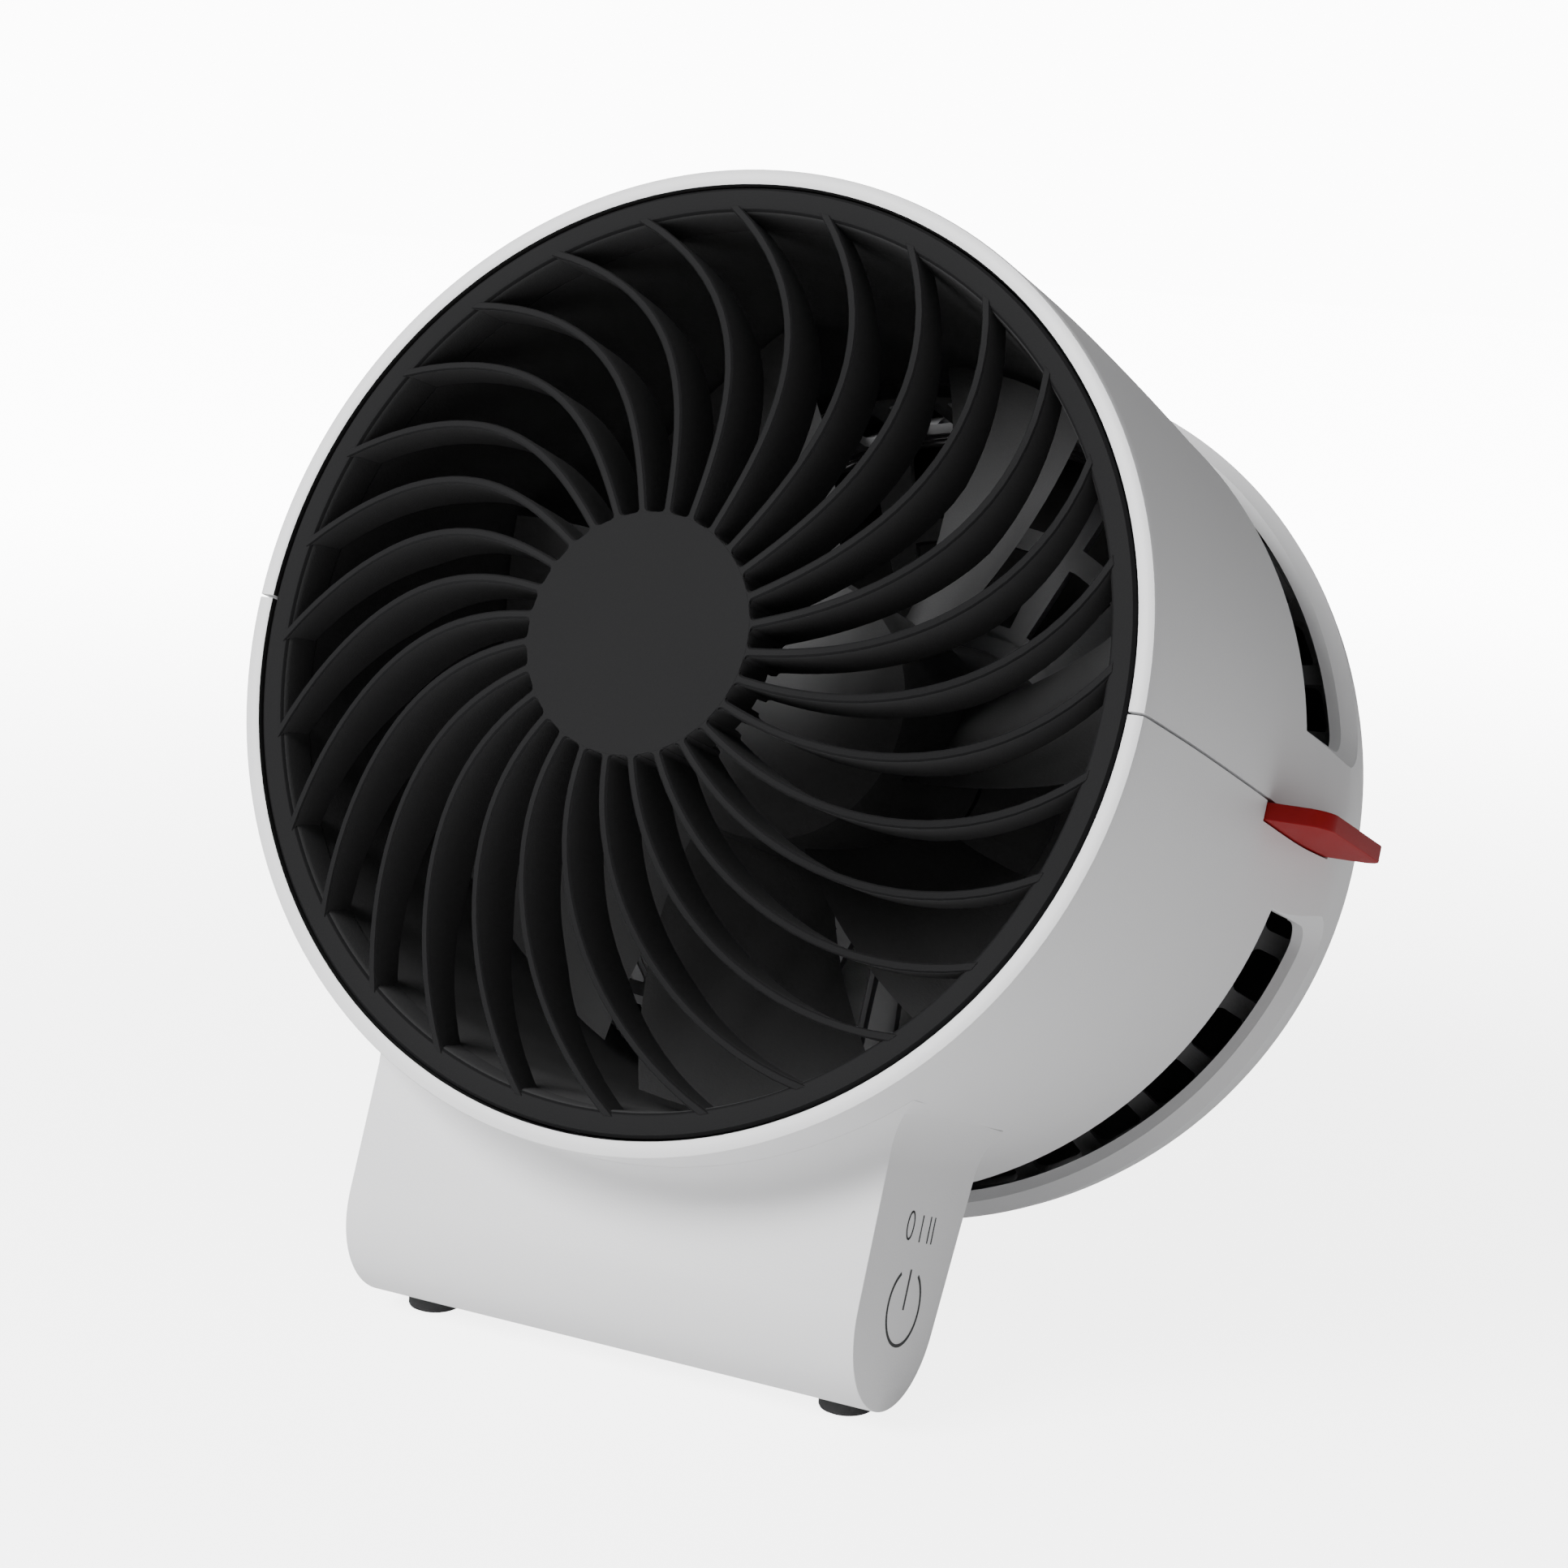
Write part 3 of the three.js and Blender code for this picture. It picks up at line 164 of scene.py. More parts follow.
# Moulded plastic, used for every housing part: a fine spark-eroded grain from the
# mould, and a slow drift of tone and gloss over the surface.
def moulding_group():
    group = bpy.data.node_groups.new("moulded surface", "ShaderNodeTree")
    for name, kind, value in [("Colour", "NodeSocketColor", (0.8, 0.8, 0.8, 1)),
                              ("Roughness", "NodeSocketFloat", 0.45),
                              ("Drift", "NodeSocketFloat", 0.03),
                              ("Grain Size", "NodeSocketFloat", 2500.0),
                              ("Grain Depth", "NodeSocketFloat", 0.02)]:
        socket = group.interface.new_socket(name, in_out="INPUT", socket_type=kind)
        socket.default_value = value
    for name, kind in [("Colour", "NodeSocketColor"), ("Roughness", "NodeSocketFloat"),
                       ("Normal", "NodeSocketVector")]:
        group.interface.new_socket(name, in_out="OUTPUT", socket_type=kind)
    inside = group.nodes.new("NodeGroupInput")
    outside = group.nodes.new("NodeGroupOutput")
    at = group.nodes.new("ShaderNodeTexCoord")
    slow = node(group, "ShaderNodeTexNoise", Scale=22.0, Detail=2.0)
    fine = node(group, "ShaderNodeTexNoise", Detail=2.0, Roughness=0.6)
    shade = group.nodes.new("ShaderNodeMapRange")
    shade.inputs["To Min"].default_value = 1.0
    tone = group.nodes.new("ShaderNodeHueSaturation")
    lower = group.nodes.new("ShaderNodeMath")
    lower.operation = "SUBTRACT"
    lower.inputs[0].default_value = 1.0
    gloss = group.nodes.new("ShaderNodeMath")
    gloss.operation = "MULTIPLY_ADD"
    gloss.inputs[1].default_value = 0.08
    bump = node(group, "ShaderNodeBump", Distance=0.001)
    link = group.links.new
    link(at.outputs["Object"], slow.inputs["Vector"])
    link(at.outputs["Object"], fine.inputs["Vector"])
    link(inside.outputs["Grain Size"], fine.inputs["Scale"])
    link(inside.outputs["Drift"], lower.inputs[1])
    link(slow.outputs["Fac"], shade.inputs["Value"])
    link(lower.outputs["Value"], shade.inputs["To Max"])
    link(shade.outputs["Result"], tone.inputs["Value"])
    link(inside.outputs["Colour"], tone.inputs["Color"])
    link(slow.outputs["Fac"], gloss.inputs[0])
    link(inside.outputs["Roughness"], gloss.inputs[2])
    link(fine.outputs["Fac"], bump.inputs["Height"])
    link(inside.outputs["Grain Depth"], bump.inputs["Strength"])
    link(tone.outputs["Color"], outside.inputs["Colour"])
    link(gloss.outputs["Value"], outside.inputs["Roughness"])
    link(bump.outputs["Normal"], outside.inputs["Normal"])
    return group


moulded_surface = moulding_group()


def moulded(name, colour, roughness, drift, size, depth, **inputs):
    """Plastic or rubber with the grain of its mould."""
    material, tree, shader = principled(name, **inputs)
    surface = tree.nodes.new("ShaderNodeGroup")
    surface.node_tree = moulded_surface
    for key, value in [("Colour", (*colour, 1)), ("Roughness", roughness), ("Drift", drift),
                       ("Grain Size", size), ("Grain Depth", depth)]:
        surface.inputs[key].default_value = value
    tree.links.new(surface.outputs["Colour"], shader.inputs["Base Color"])
    tree.links.new(surface.outputs["Roughness"], shader.inputs["Roughness"])
    tree.links.new(surface.outputs["Normal"], shader.inputs["Normal"])
    return material


# The halves are white outside. Their inside faces are painted near black as painted shade, so that the
# space seen through the grille looks dark; the mesh marks those faces.
white_plastic = moulded("white housing plastic", (0.80, 0.80, 0.81), 0.42, 0.03, 2600.0, 0.06,
                        Specular_IOR_Level=0.45)


def paint_light_and_shade_on_marks(material, colour):
    """Paints the faces that a mesh marks as inside with a colour of their own, which stands in for
    shade on the housing and for light on the grille.
    """
    tree = material.node_tree
    shader = tree.nodes["Principled BSDF"]
    marked = tree.nodes.new("ShaderNodeAttribute")
    marked.attribute_name = "inside"
    painted_mix = tree.nodes.new("ShaderNodeMix")
    painted_mix.data_type = "RGBA"
    painted_mix.inputs["B"].default_value = (*colour, 1)
    tree.links.new(marked.outputs["Fac"], painted_mix.inputs["Factor"])
    tree.links.new(shader.inputs["Base Color"].links[0].from_socket, painted_mix.inputs["A"])
    tree.links.new(painted_mix.outputs["Result"], shader.inputs["Base Color"])


# Painted shade: the housing's inside faces are painted near black.
paint_light_and_shade_on_marks(white_plastic, (0.012, 0.012, 0.012))


# The barrel housing, white plastic with a thin wall, moulded in two halves that meet
# on the fan's middle plane. From the rim it narrows a little to the intake slots and
# then swells into the domed back.
WALL = 2.4
SEAM = 0.5
DOME_START = (82, -105.5)
BARREL_LINE = [(80.9, 0), (81.2, -24), (80.55, -54.9), (79.5, -85.8), (80.3, -97.6), DOME_START]
DOME_CURVE, DOME_BEND = 62.4, 30
HEEL_CURVE, HEEL_BEND = 39, 80
SLOT_FRONT, SLOT_REAR = -85.8, -109.0
LIP_FRONT, LIP_DEPTH, LIP_R = -102.4, 3.4, 77.2
ROUND = 180


def shell_line(inset):
    """Radius and z of the housing from the rim to the middle of the back."""
    line = []
    ends = [BARREL_LINE[0], *BARREL_LINE, BARREL_LINE[-1]]
    for before, first, last, after in zip(ends, ends[1:], ends[2:], ends[3:]):
        for step in range(5):
            t = step / 5
            r, z = (0.5 * (2 * b + (c - a) * t + (2 * a - 5 * b + 4 * c - d) * t * t
                           + (3 * b - a - 3 * c + d) * t ** 3)
                    for a, b, c, d in zip(before, first, last, after))
            line.append((r - inset, z))
    bend = math.radians(DOME_BEND)
    centre = (DOME_START[0] - DOME_CURVE, DOME_START[1])
    for step in range(8):
        angle = bend * step / 8
        reach = DOME_CURVE - inset
        line.append((centre[0] + reach * math.cos(angle), centre[1] - reach * math.sin(angle)))
    centre = (centre[0] + (DOME_CURVE - HEEL_CURVE) * math.cos(bend),
              centre[1] - (DOME_CURVE - HEEL_CURVE) * math.sin(bend))
    heel = math.radians(HEEL_BEND)
    reach = HEEL_CURVE - inset
    for step in range(11):
        angle = bend + (heel - bend) * step / 10
        line.append((centre[0] + reach * math.cos(angle), centre[1] - reach * math.sin(angle)))
    edge_r, edge_z = line[-1]
    flat = edge_r / math.cos(heel)
    for step in range(1, 7):
        angle = heel + (math.pi / 2 - heel) * step / 6
        line.append((flat * math.cos(angle), edge_z - flat * (math.sin(angle) - math.sin(heel))))
    return line


def lathe(outline, steps=ROUND):
    """Spins a closed outline of (radius, z) once round the fan's axis."""
    bm = bmesh.new()
    verts = [bm.verts.new((max(r, 0), 0, z)) for r, z in outline]
    edges = [bm.edges.new(pair) for pair in zip(verts, verts[1:] + verts[:1])]
    bmesh.ops.spin(bm, geom=verts + edges, axis=(0, 0, 1), angle=2 * math.pi, steps=steps,
                   use_merge=True)
    bmesh.ops.remove_doubles(bm, verts=bm.verts, dist=1e-3)
    bmesh.ops.dissolve_degenerate(bm, edges=bm.edges, dist=1e-4)
    on_axis = [edge for edge in bm.edges if edge.is_wire]
    bmesh.ops.delete(bm, geom=on_axis, context="EDGES")
    bmesh.ops.recalc_face_normals(bm, faces=bm.faces)
    return bm


def sector(outline, start, end, steps):
    """Spins a closed outline of (radius, z) through part of a turn, with its ends closed."""
    bm = bmesh.new()
    first = bm.faces.new([bm.verts.new((r, 0, z)) for r, z in outline])
    bmesh.ops.spin(bm, geom=[first], axis=(0, 0, 1), angle=math.radians(end - start), steps=steps)
    bm.transform(Matrix.Rotation(math.radians(start), 4, "Z"))
    bmesh.ops.recalc_face_normals(bm, faces=bm.faces)
    return bm


def block(low, high, edge=0.0):
    """A box between two corners, its edges rounded by edge."""
    bm = bmesh.new()
    bmesh.ops.create_cube(bm, size=1)
    size = [b - a for a, b in zip(low, high)]
    bmesh.ops.scale(bm, vec=size, verts=bm.verts)
    bmesh.ops.translate(bm, vec=[(a + b) / 2 for a, b in zip(low, high)], verts=bm.verts)
    if edge:
        soften(bm, edge, 30)
    return bm


def soften(bm, width, angle, segments=3):
    """Rounds the edges that turn by more than angle."""
    sharp = [edge for edge in bm.edges
             if edge.is_manifold and edge.calc_face_angle(0) > math.radians(angle)]
    bmesh.ops.bevel(bm, geom=sharp, offset=width, segments=segments, profile=0.5,
                    affect="EDGES", material=-1, clamp_overlap=True)


def rod(radius, start, end, sides):
    """A round bar from start to end."""
    bm = bmesh.new()
    start, end = Vector(start), Vector(end)
    bmesh.ops.create_cone(bm, cap_ends=True, segments=sides, radius1=radius, radius2=radius,
                          depth=(end - start).length)
    turn = (end - start).to_track_quat("Z", "Y").to_matrix().to_4x4()
    bm.transform(Matrix.Translation((start + end) / 2) @ turn)
    return bm


def boolean(bm, tool, operation="DIFFERENCE"):
    """Cuts or joins one solid with another, and frees the tool."""
    pair = []
    for part in (bm, tool):
        mesh = bpy.data.meshes.new("work")
        part.to_mesh(mesh)
        part.free()
        pair.append(bpy.data.objects.new("work", mesh))
        bpy.context.scene.collection.objects.link(pair[-1])
    cut = pair[0].modifiers.new("cut", "BOOLEAN")
    cut.operation = operation
    cut.solver = "EXACT"
    cut.object = pair[1]
    out = bmesh.new()
    out.from_object(pair[0], bpy.context.evaluated_depsgraph_get())
    for work in pair:
        mesh = work.data
        bpy.data.objects.remove(work)
        bpy.data.meshes.remove(mesh)
    bpy.context.view_layer.update()
    return out


def piece(name, bm, body, material, nodes=(), place=FROM_HEAD, crease=32):
    """Puts a finished solid in the scene, on its body, and frees it."""
    bm.transform(place)
    mesh = bpy.data.meshes.new(name)
    bm.to_mesh(mesh)
    bm.free()
    mesh.shade_smooth()
    mesh.set_sharp_from_angle(angle=math.radians(crease))
    mesh.materials.append(material)
    made = bpy.data.objects.new(name, mesh)
    bpy.context.scene.collection.objects.link(made)
    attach(made, body)
    if nodes:
        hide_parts(*nodes)
    return made


# The rim stands ahead of the grille's seat with a rounded white edge.
RIM_DEPTH = 8.0
RIM_OUT = 80.9
inner_line = [(r, z) for r, z in shell_line(WALL) if z < -RIM_DEPTH - 1]
ahead = [point for point in inner_line if point[1] > LIP_FRONT + 0.5]
behind = [point for point in inner_line if point[1] < SLOT_REAR - LIP_DEPTH - WALL]
lip = [(ahead[-1][0], LIP_FRONT), (LIP_R, LIP_FRONT), (LIP_R, SLOT_REAR - LIP_DEPTH),
       (behind[0][0], SLOT_REAR - LIP_DEPTH - 2)]
outer_line = [(r, z) for r, z in shell_line(0) if z < -1]
rim = [(RIM_R + 0.05, -RIM_DEPTH), (RIM_R, -0.7), (RIM_R + 0.2, -0.2), (RIM_R + 0.7, 0),
       (RIM_OUT - 0.8, 0), (RIM_OUT - 0.2, -0.25), (RIM_OUT, -0.8)]
inside_line = [(RIM_OUT - WALL, -RIM_DEPTH - 0.6), *ahead, *lip, *behind]
BARREL = [*rim, *outer_line, *reversed(inside_line)]


# The intake slots run round the waist, one over the top and one underneath. The wall
# is cut square, and behind the slot and round its ends the edge is bevelled down into
# it.
CORNER = 5.0
THROUGH_R, CLEAR_R = 73.0, 86.0
BEVEL_FOOT_R = 79.3
SLOT_SPAN = {"upper": (11.5, 168.5), "lower": (-168.5, -11.5)}


def slot_cutter(start, end):
    """The solid that a slot takes out, first laid flat as (angle, z, radius), then bent."""
    first, last = math.radians(start), math.radians(end)
    turn = CORNER / RIM_R
    side = SLOT_REAR + CORNER
    edge = []
    for step in range(9):
        angle = math.radians(90 * step / 8)
        edge.append((first + turn * (1 - math.cos(angle)), side - CORNER * math.sin(angle)))
    straight = [first + turn + (last - first - 2 * turn) * step / 70 for step in range(1, 70)]
    edge += [(angle, SLOT_REAR) for angle in straight]
    edge += [(first + last - angle, z) for angle, z in reversed(edge[:9])]
    bm = bmesh.new()
    rows = [[bm.verts.new((angle, z, THROUGH_R)) for angle, z in line]
            for line in (edge, [(angle, SLOT_FRONT) for angle, _ in edge])]
    for near, far in zip(zip(rows[0], rows[0][1:]), zip(rows[1], rows[1][1:])):
        bm.faces.new((*near, *reversed(far)))
    for radius, run in ((BEVEL_FOOT_R, 0), (CLEAR_R, CLEAR_R - BEVEL_FOOT_R)):
        outside = [face for face in bm.faces if len({round(v.co.z) for v in face.verts}) == 1]
        outside = [face for face in outside if face.calc_center_median().z > radius - 7]
        grown = bmesh.ops.extrude_face_region(bm, geom=outside)
        for vert in grown["geom"]:
            if isinstance(vert, bmesh.types.BMVert):
                middle = min(max(vert.co.x, first + turn), last - turn)
                vert.co.x += (vert.co.x - middle) / turn * run / RIM_R
                vert.co.y += min(vert.co.y - side, 0) / CORNER * run
                vert.co.z = radius
        if run:
            bmesh.ops.delete(bm, geom=outside, context="FACES")
    for vert in bm.verts:
        angle, z, radius = vert.co
        vert.co = (radius * math.cos(angle), radius * math.sin(angle), z)
    bmesh.ops.recalc_face_normals(bm, faces=bm.faces)
    return bm


# The hinge on the left of the seam: three knuckles on short arms, two on the lower
# half and one on the upper, round a steel pin.
KNUCKLE_R, PIN_R = 2.2, 0.9
HINGE_X = -84
HINGE_Z = (-30, -74)
KNUCKLE_LENGTH = 10
GAP = 0.3


def add_part(bm, part):
    """Adds a loose solid to a mesh, and frees it."""
    mesh = bpy.data.meshes.new("work")
    part.to_mesh(mesh)
    part.free()
    bm.from_mesh(mesh)
    bpy.data.meshes.remove(mesh)


def extruded(outline, rear, front):
    """A solid with one outline (x, y) from rear to front."""
    bm = bmesh.new()
    face = bm.faces.new([bm.verts.new((x, y, rear)) for x, y in outline])
    wall = bmesh.ops.extrude_face_region(bm, geom=[face])
    moved = [v for v in wall["geom"] if isinstance(v, bmesh.types.BMVert)]
    bmesh.ops.translate(bm, vec=(0, 0, front - rear), verts=moved)
    bmesh.ops.recalc_face_normals(bm, faces=bm.faces)
    return bm


def add_knuckle(bm, front, rear, side):
    """A knuckle with its bore, and the arm that joins it to the wall on one side of the seam."""
    eye = lathe([(PIN_R + GAP, rear), (KNUCKLE_R, rear), (KNUCKLE_R, front), (PIN_R + GAP, front)], 40)
    eye.transform(Matrix.Translation((HINGE_X, 0, 0)))
    add_part(bm, eye)
    clear = PIN_R + GAP + 0.1
    arm = [(0, clear), (0, KNUCKLE_R - 0.02), (4.4, KNUCKLE_R - 0.02), (4.4, 0.5 * SEAM),
           (clear, 0.5 * SEAM), (clear, clear)]
    add_part(bm, extruded([(HINGE_X + x, side * y) for x, y in arm], rear + 0.02, front - 0.02))


def mark_painted_shade_inside(bm):
    """Marks the faces that look at the fan's axis, apart from the slots' cut edges, to take the
    painted shade.
    """
    marks = bm.faces.layers.float.new("inside")
    for face in bm.faces:
        x, y, z = face.calc_center_median()
        if y < FOOT_INSIDE_Y:
            continue
        if z > SLOT_REAR - 3:
            outward = Vector((x, y, 0)).normalized()
            least = -0.5
        else:
            outward = Vector((x, y, z - SLOT_REAR)).normalized()
            least = -0.2
        face[marks] = float(face.normal.dot(outward) < least)


FOOT_INSIDE_Y = -79
shell = boolean(lathe(BARREL), block((-100, -200, -200), (100, 0.5 * SEAM, 20)))
shell = boolean(shell, slot_cutter(*SLOT_SPAN["upper"]))
# The upper half's inside faces are marked to take painted shade.
mark_painted_shade_inside(shell)
add_knuckle(shell, HINGE_Z[0] - KNUCKLE_LENGTH - GAP, HINGE_Z[1] + KNUCKLE_LENGTH + GAP, 1)
# A prong hangs from the upper half into the pull tab's window and holds it shut.
PRONG_X, PRONG_Y, PRONG_Z = (75.3, 76.9), (-5.3, 12), (-95, -91.5)
ROOT_X, ROOT_Y, ROOT_Z = (75.3, 78.4), (3.2, 11.9), (-94.9, -91.6)
add_part(shell, block(*zip(PRONG_X, PRONG_Y, PRONG_Z), 0.3))
add_part(shell, block(*zip(ROOT_X, ROOT_Y, ROOT_Z)))
piece("upper_cover_shell", shell, "upper_cover", white_plastic, ["upper_shell"])


# The lower half carries the foot: one hollow moulding whose flat sides run up into
# the barrel in a wide curve. The bottom is a full round, the front is flat, and the
# rear leans back.
FOOT_HALF_WIDTH = 47.6
FOOT_ROUND = 15.6
FOOT_Y, FOOT_Z = -95.2, -32.8
REAR_LEAN = math.radians(9.8)
FLARE = 13
TOUCH_R, TOUCH_TAPER = 81.5, 0.0195
FOOT_BACK, FOOT_TOP, FOOT_DEEP = -76, -63, 81
FOOT_EDGE = 2.6
COVE, COVE_R = 6, 81.15
PLUG_R, HOLLOW_R = 80.0, 81.8


def sweep(sections):
    """Extrudes a face through a row of cross-sections, each a list of the same length."""
    bm = bmesh.new()
    front = end_cap = bm.faces.new([bm.verts.new(point) for point in sections[0]])
    for points in sections[1:]:
        passed = front
        grown = bmesh.ops.extrude_face_region(bm, geom=[front])
        front = next(item for item in grown["geom"] if isinstance(item, bmesh.types.BMFace))
        for vert, point in zip(front.verts, points):
            vert.co = point
        if passed is not end_cap:
            bmesh.ops.delete(bm, geom=[passed], context="FACES_ONLY")
    bmesh.ops.recalc_face_normals(bm, faces=bm.faces)
    return bm


def foot_side(inset, half, high):
    """The side view with its full round bottom, as a solid across the fan."""
    curve = FOOT_ROUND - inset
    outline = []
    for step in range(41):
        angle = math.pi + (math.pi - REAR_LEAN) * step / 40
        outline.append((FOOT_Y + curve * math.sin(angle), FOOT_Z - curve * math.cos(angle)))
    rear_y, rear_z = outline[-1]
    outline.append((high, rear_z - (high - rear_y) * math.tan(REAR_LEAN)))
    outline.append((high, FOOT_Z + curve))
    bm = extruded([(z, y) for y, z in outline], -half, half)
    bm.transform(Matrix(((0, 0, 1, 0), (0, 1, 0, 0), (1, 0, 0, 0), (0, 0, 0, 1))))
    bmesh.ops.recalc_face_normals(bm, faces=bm.faces)
    return bm


def foot_outline(radius, z):
    """The front view, flaring out until it touches the barrel at this radius."""
    middle = FOOT_HALF_WIDTH + FLARE
    touch = math.sqrt((radius + FLARE) ** 2 - middle ** 2)
    meet = math.atan2(touch, -middle)
    low = FOOT_Y - FOOT_ROUND - 2
    right = [(FOOT_HALF_WIDTH, low)]
    for step in range(15):
        angle = math.pi + (meet - math.pi) * step / 14
        right.append((middle + FLARE * math.cos(angle), -touch + FLARE * math.sin(angle)))
    outline = right + [(0, -10)] + [(-x, y) for x, y in reversed(right)]
    return [(x, y, z) for x, y in outline]


def foot_front(rear, front):
    """The front view as a solid along the axis, which follows the barrel's taper."""
    return sweep([foot_outline(TOUCH_R + TOUCH_TAPER * z, z) for z in (rear, front)])


foot = boolean(foot_front(FOOT_BACK, 0), foot_side(0, FOOT_DEEP, FOOT_TOP), "INTERSECT")
soften(foot, FOOT_EDGE, 50, 5)
foot_face = FOOT_Z + FOOT_ROUND
cove = [(PLUG_R, foot_face - 2), (COVE_R + COVE, foot_face - 2), (COVE_R + COVE, foot_face)]
for step in range(1, 8):
    angle = math.radians(90 * step / 8)
    cove.append((COVE_R + COVE * (1 - math.sin(angle)), foot_face + COVE * (1 - math.cos(angle))))
cove += [(COVE_R, foot_face + COVE), (PLUG_R, foot_face + COVE)]
strip = boolean(sector(cove, -132, -48, 60), foot_front(-40, 0), "INTERSECT")
foot = boolean(foot, strip, "UNION")
plug = lathe([(0, 20), (0, -100), (PLUG_R, -100), (PLUG_R, 20)])
foot = boolean(foot, plug)
shell = boolean(lathe(BARREL), block((-100, -0.5 * SEAM, -200), (100, 200, 20)))
shell = boolean(shell, foot, "UNION")
hollow = boolean(foot_side(WALL, FOOT_HALF_WIDTH - WALL, FOOT_TOP),
                 lathe([(0, 20), (0, -100), (HOLLOW_R, -100), (HOLLOW_R, 20)]))
shell = boolean(shell, hollow)
shell = boolean(shell, slot_cutter(*SLOT_SPAN["lower"]))
TAB_NOTCH = ((72.3, -3.8, -101.7), (94, 1, -65.7))
shell = boolean(shell, block(*TAB_NOTCH))


# The plate in the foot's rear face: a thin white panel let into the shell and held by
# two screws, with the power inlet in its middle.
COVER_WIDTH, COVER_HEIGHT, COVER_THICK = 60, 13, 2
REAR_MIDDLE = Vector((0, FOOT_Y - FOOT_ROUND * math.sin(REAR_LEAN),
                      FOOT_Z - FOOT_ROUND * math.cos(REAR_LEAN)))
REAR_UP = Vector((0, math.cos(REAR_LEAN), -math.sin(REAR_LEAN)))
REAR_OUT = Vector((0, -math.sin(REAR_LEAN), -math.cos(REAR_LEAN)))
ON_REAR = Matrix.Translation(REAR_MIDDLE + REAR_UP * COVER_HEIGHT / 2) @ Matrix(
    ((-1, 0, 0), REAR_UP, REAR_OUT)).transposed().to_4x4()
half_w, half_h = COVER_WIDTH / 2, COVER_HEIGHT / 2
opening = block((-half_w - GAP, -half_h - GAP, -WALL - 2), (half_w + GAP, half_h + GAP, 3))
opening.transform(ON_REAR)
shell = boolean(shell, opening)
# The lower half's inside faces are marked to take painted shade.
mark_painted_shade_inside(shell)
add_knuckle(shell, HINGE_Z[0], HINGE_Z[0] - KNUCKLE_LENGTH, -1)
add_knuckle(shell, HINGE_Z[1] + KNUCKLE_LENGTH, HINGE_Z[1], -1)
# A ledge inside the lower half carries the duct's front flange.
LEDGE_IN, LEDGE_OUT, LEDGE_FRONT, LEDGE_REAR = 75.6, 79.5, -10.7, -13.1
ledge = [(LEDGE_IN, LEDGE_FRONT), (LEDGE_OUT, LEDGE_FRONT), (LEDGE_OUT, LEDGE_REAR),
         (LEDGE_IN, LEDGE_REAR)]
add_part(shell, sector(ledge, -179.8, -0.2, 90))
piece("lower_shell_and_foot", shell, "base", white_plastic, ["lower_shell"])

plate = block((-half_w, -half_h, -COVER_THICK), (half_w, half_h, 0), 0.3)
INLET_HALF = (4.8, 1.9)
plate = boolean(plate, block((-INLET_HALF[0], -INLET_HALF[1], -4), (*INLET_HALF, 1)))
SCREW_X, SCREW_BORE, SCREW_SEAT = 24, 1.6, 3.0
for x in (-SCREW_X, SCREW_X):
    plate = boolean(plate, rod(SCREW_BORE, (x, 0, -4), (x, 0, 1), 24))
    plate = boolean(plate, rod(SCREW_SEAT, (x, 0, -0.4), (x, 0, 1), 32))
piece("foot_plate", plate, "base", white_plastic, ["foot_cover"],
      place=FROM_HEAD @ ON_REAR)


# Steel hardware: bright zinc-plated screws, pins and clips, ground shaft and bearings,
# with fine turning marks.
def metal(name, colour, roughness, scale=900.0):
    """Bare metal with fine turning marks."""
    material, tree, shader = principled(name, Metallic=1.0)
    at = tree.nodes.new("ShaderNodeTexCoord")
    marks = node(tree, "ShaderNodeTexNoise", Scale=scale, Detail=4.0)
    tone = tree.nodes.new("ShaderNodeValToRGB")
    tone.color_ramp.elements[0].color = (*[0.8 * c for c in colour], 1)
    tone.color_ramp.elements[1].color = (*colour, 1)
    gloss = tree.nodes.new("ShaderNodeMapRange")
    gloss.inputs["To Min"].default_value = roughness - 0.06
    gloss.inputs["To Max"].default_value = roughness + 0.1
    bump = node(tree, "ShaderNodeBump", Strength=0.15, Distance=0.0002)
    tree.links.new(at.outputs["Object"], marks.inputs["Vector"])
    tree.links.new(marks.outputs["Fac"], tone.inputs["Fac"])
    tree.links.new(marks.outputs["Fac"], gloss.inputs["Value"])
    tree.links.new(marks.outputs["Fac"], bump.inputs["Height"])
    tree.links.new(tone.outputs["Color"], shader.inputs["Base Color"])
    tree.links.new(gloss.outputs["Result"], shader.inputs["Roughness"])
    tree.links.new(bump.outputs["Normal"], shader.inputs["Normal"])
    return material


steel = metal("plated steel", (0.60, 0.61, 0.63), 0.3)
copper = metal("enamelled copper wire", (0.62, 0.28, 0.12), 0.38, 1500.0)
iron = metal("stacked iron laminations", (0.30, 0.30, 0.31), 0.5, 400.0)


def cover_screw(x):
    """A pan-head screw with a cross recess."""
    shank, slit = 1.3, 0.28
    bm = lathe([(0, 0), (shank, 0), (shank, -0.1), (2.6, -0.1), (2.6, 0.5), (2.3, 0.9), (1.4, 1.2),
                (0, 1.3)], 32)
    for half_x, half_y in ((shank, slit), (slit, shank)):
        bm = boolean(bm, block((-half_x, -half_y, 0.5), (half_x, half_y, 2)))
    bm = boolean(bm, rod(shank, (0, 0, -9), (0, 0, 0.2), 20), "UNION")
    bm.transform(Matrix.Translation((x, 0, -0.1)))
    return bm


for name, x in (("cover_screw_left", -SCREW_X), ("cover_screw_right", SCREW_X)):
    piece(name + "_cross", cover_screw(x), "base", steel, [name],
          place=FROM_HEAD @ ON_REAR)


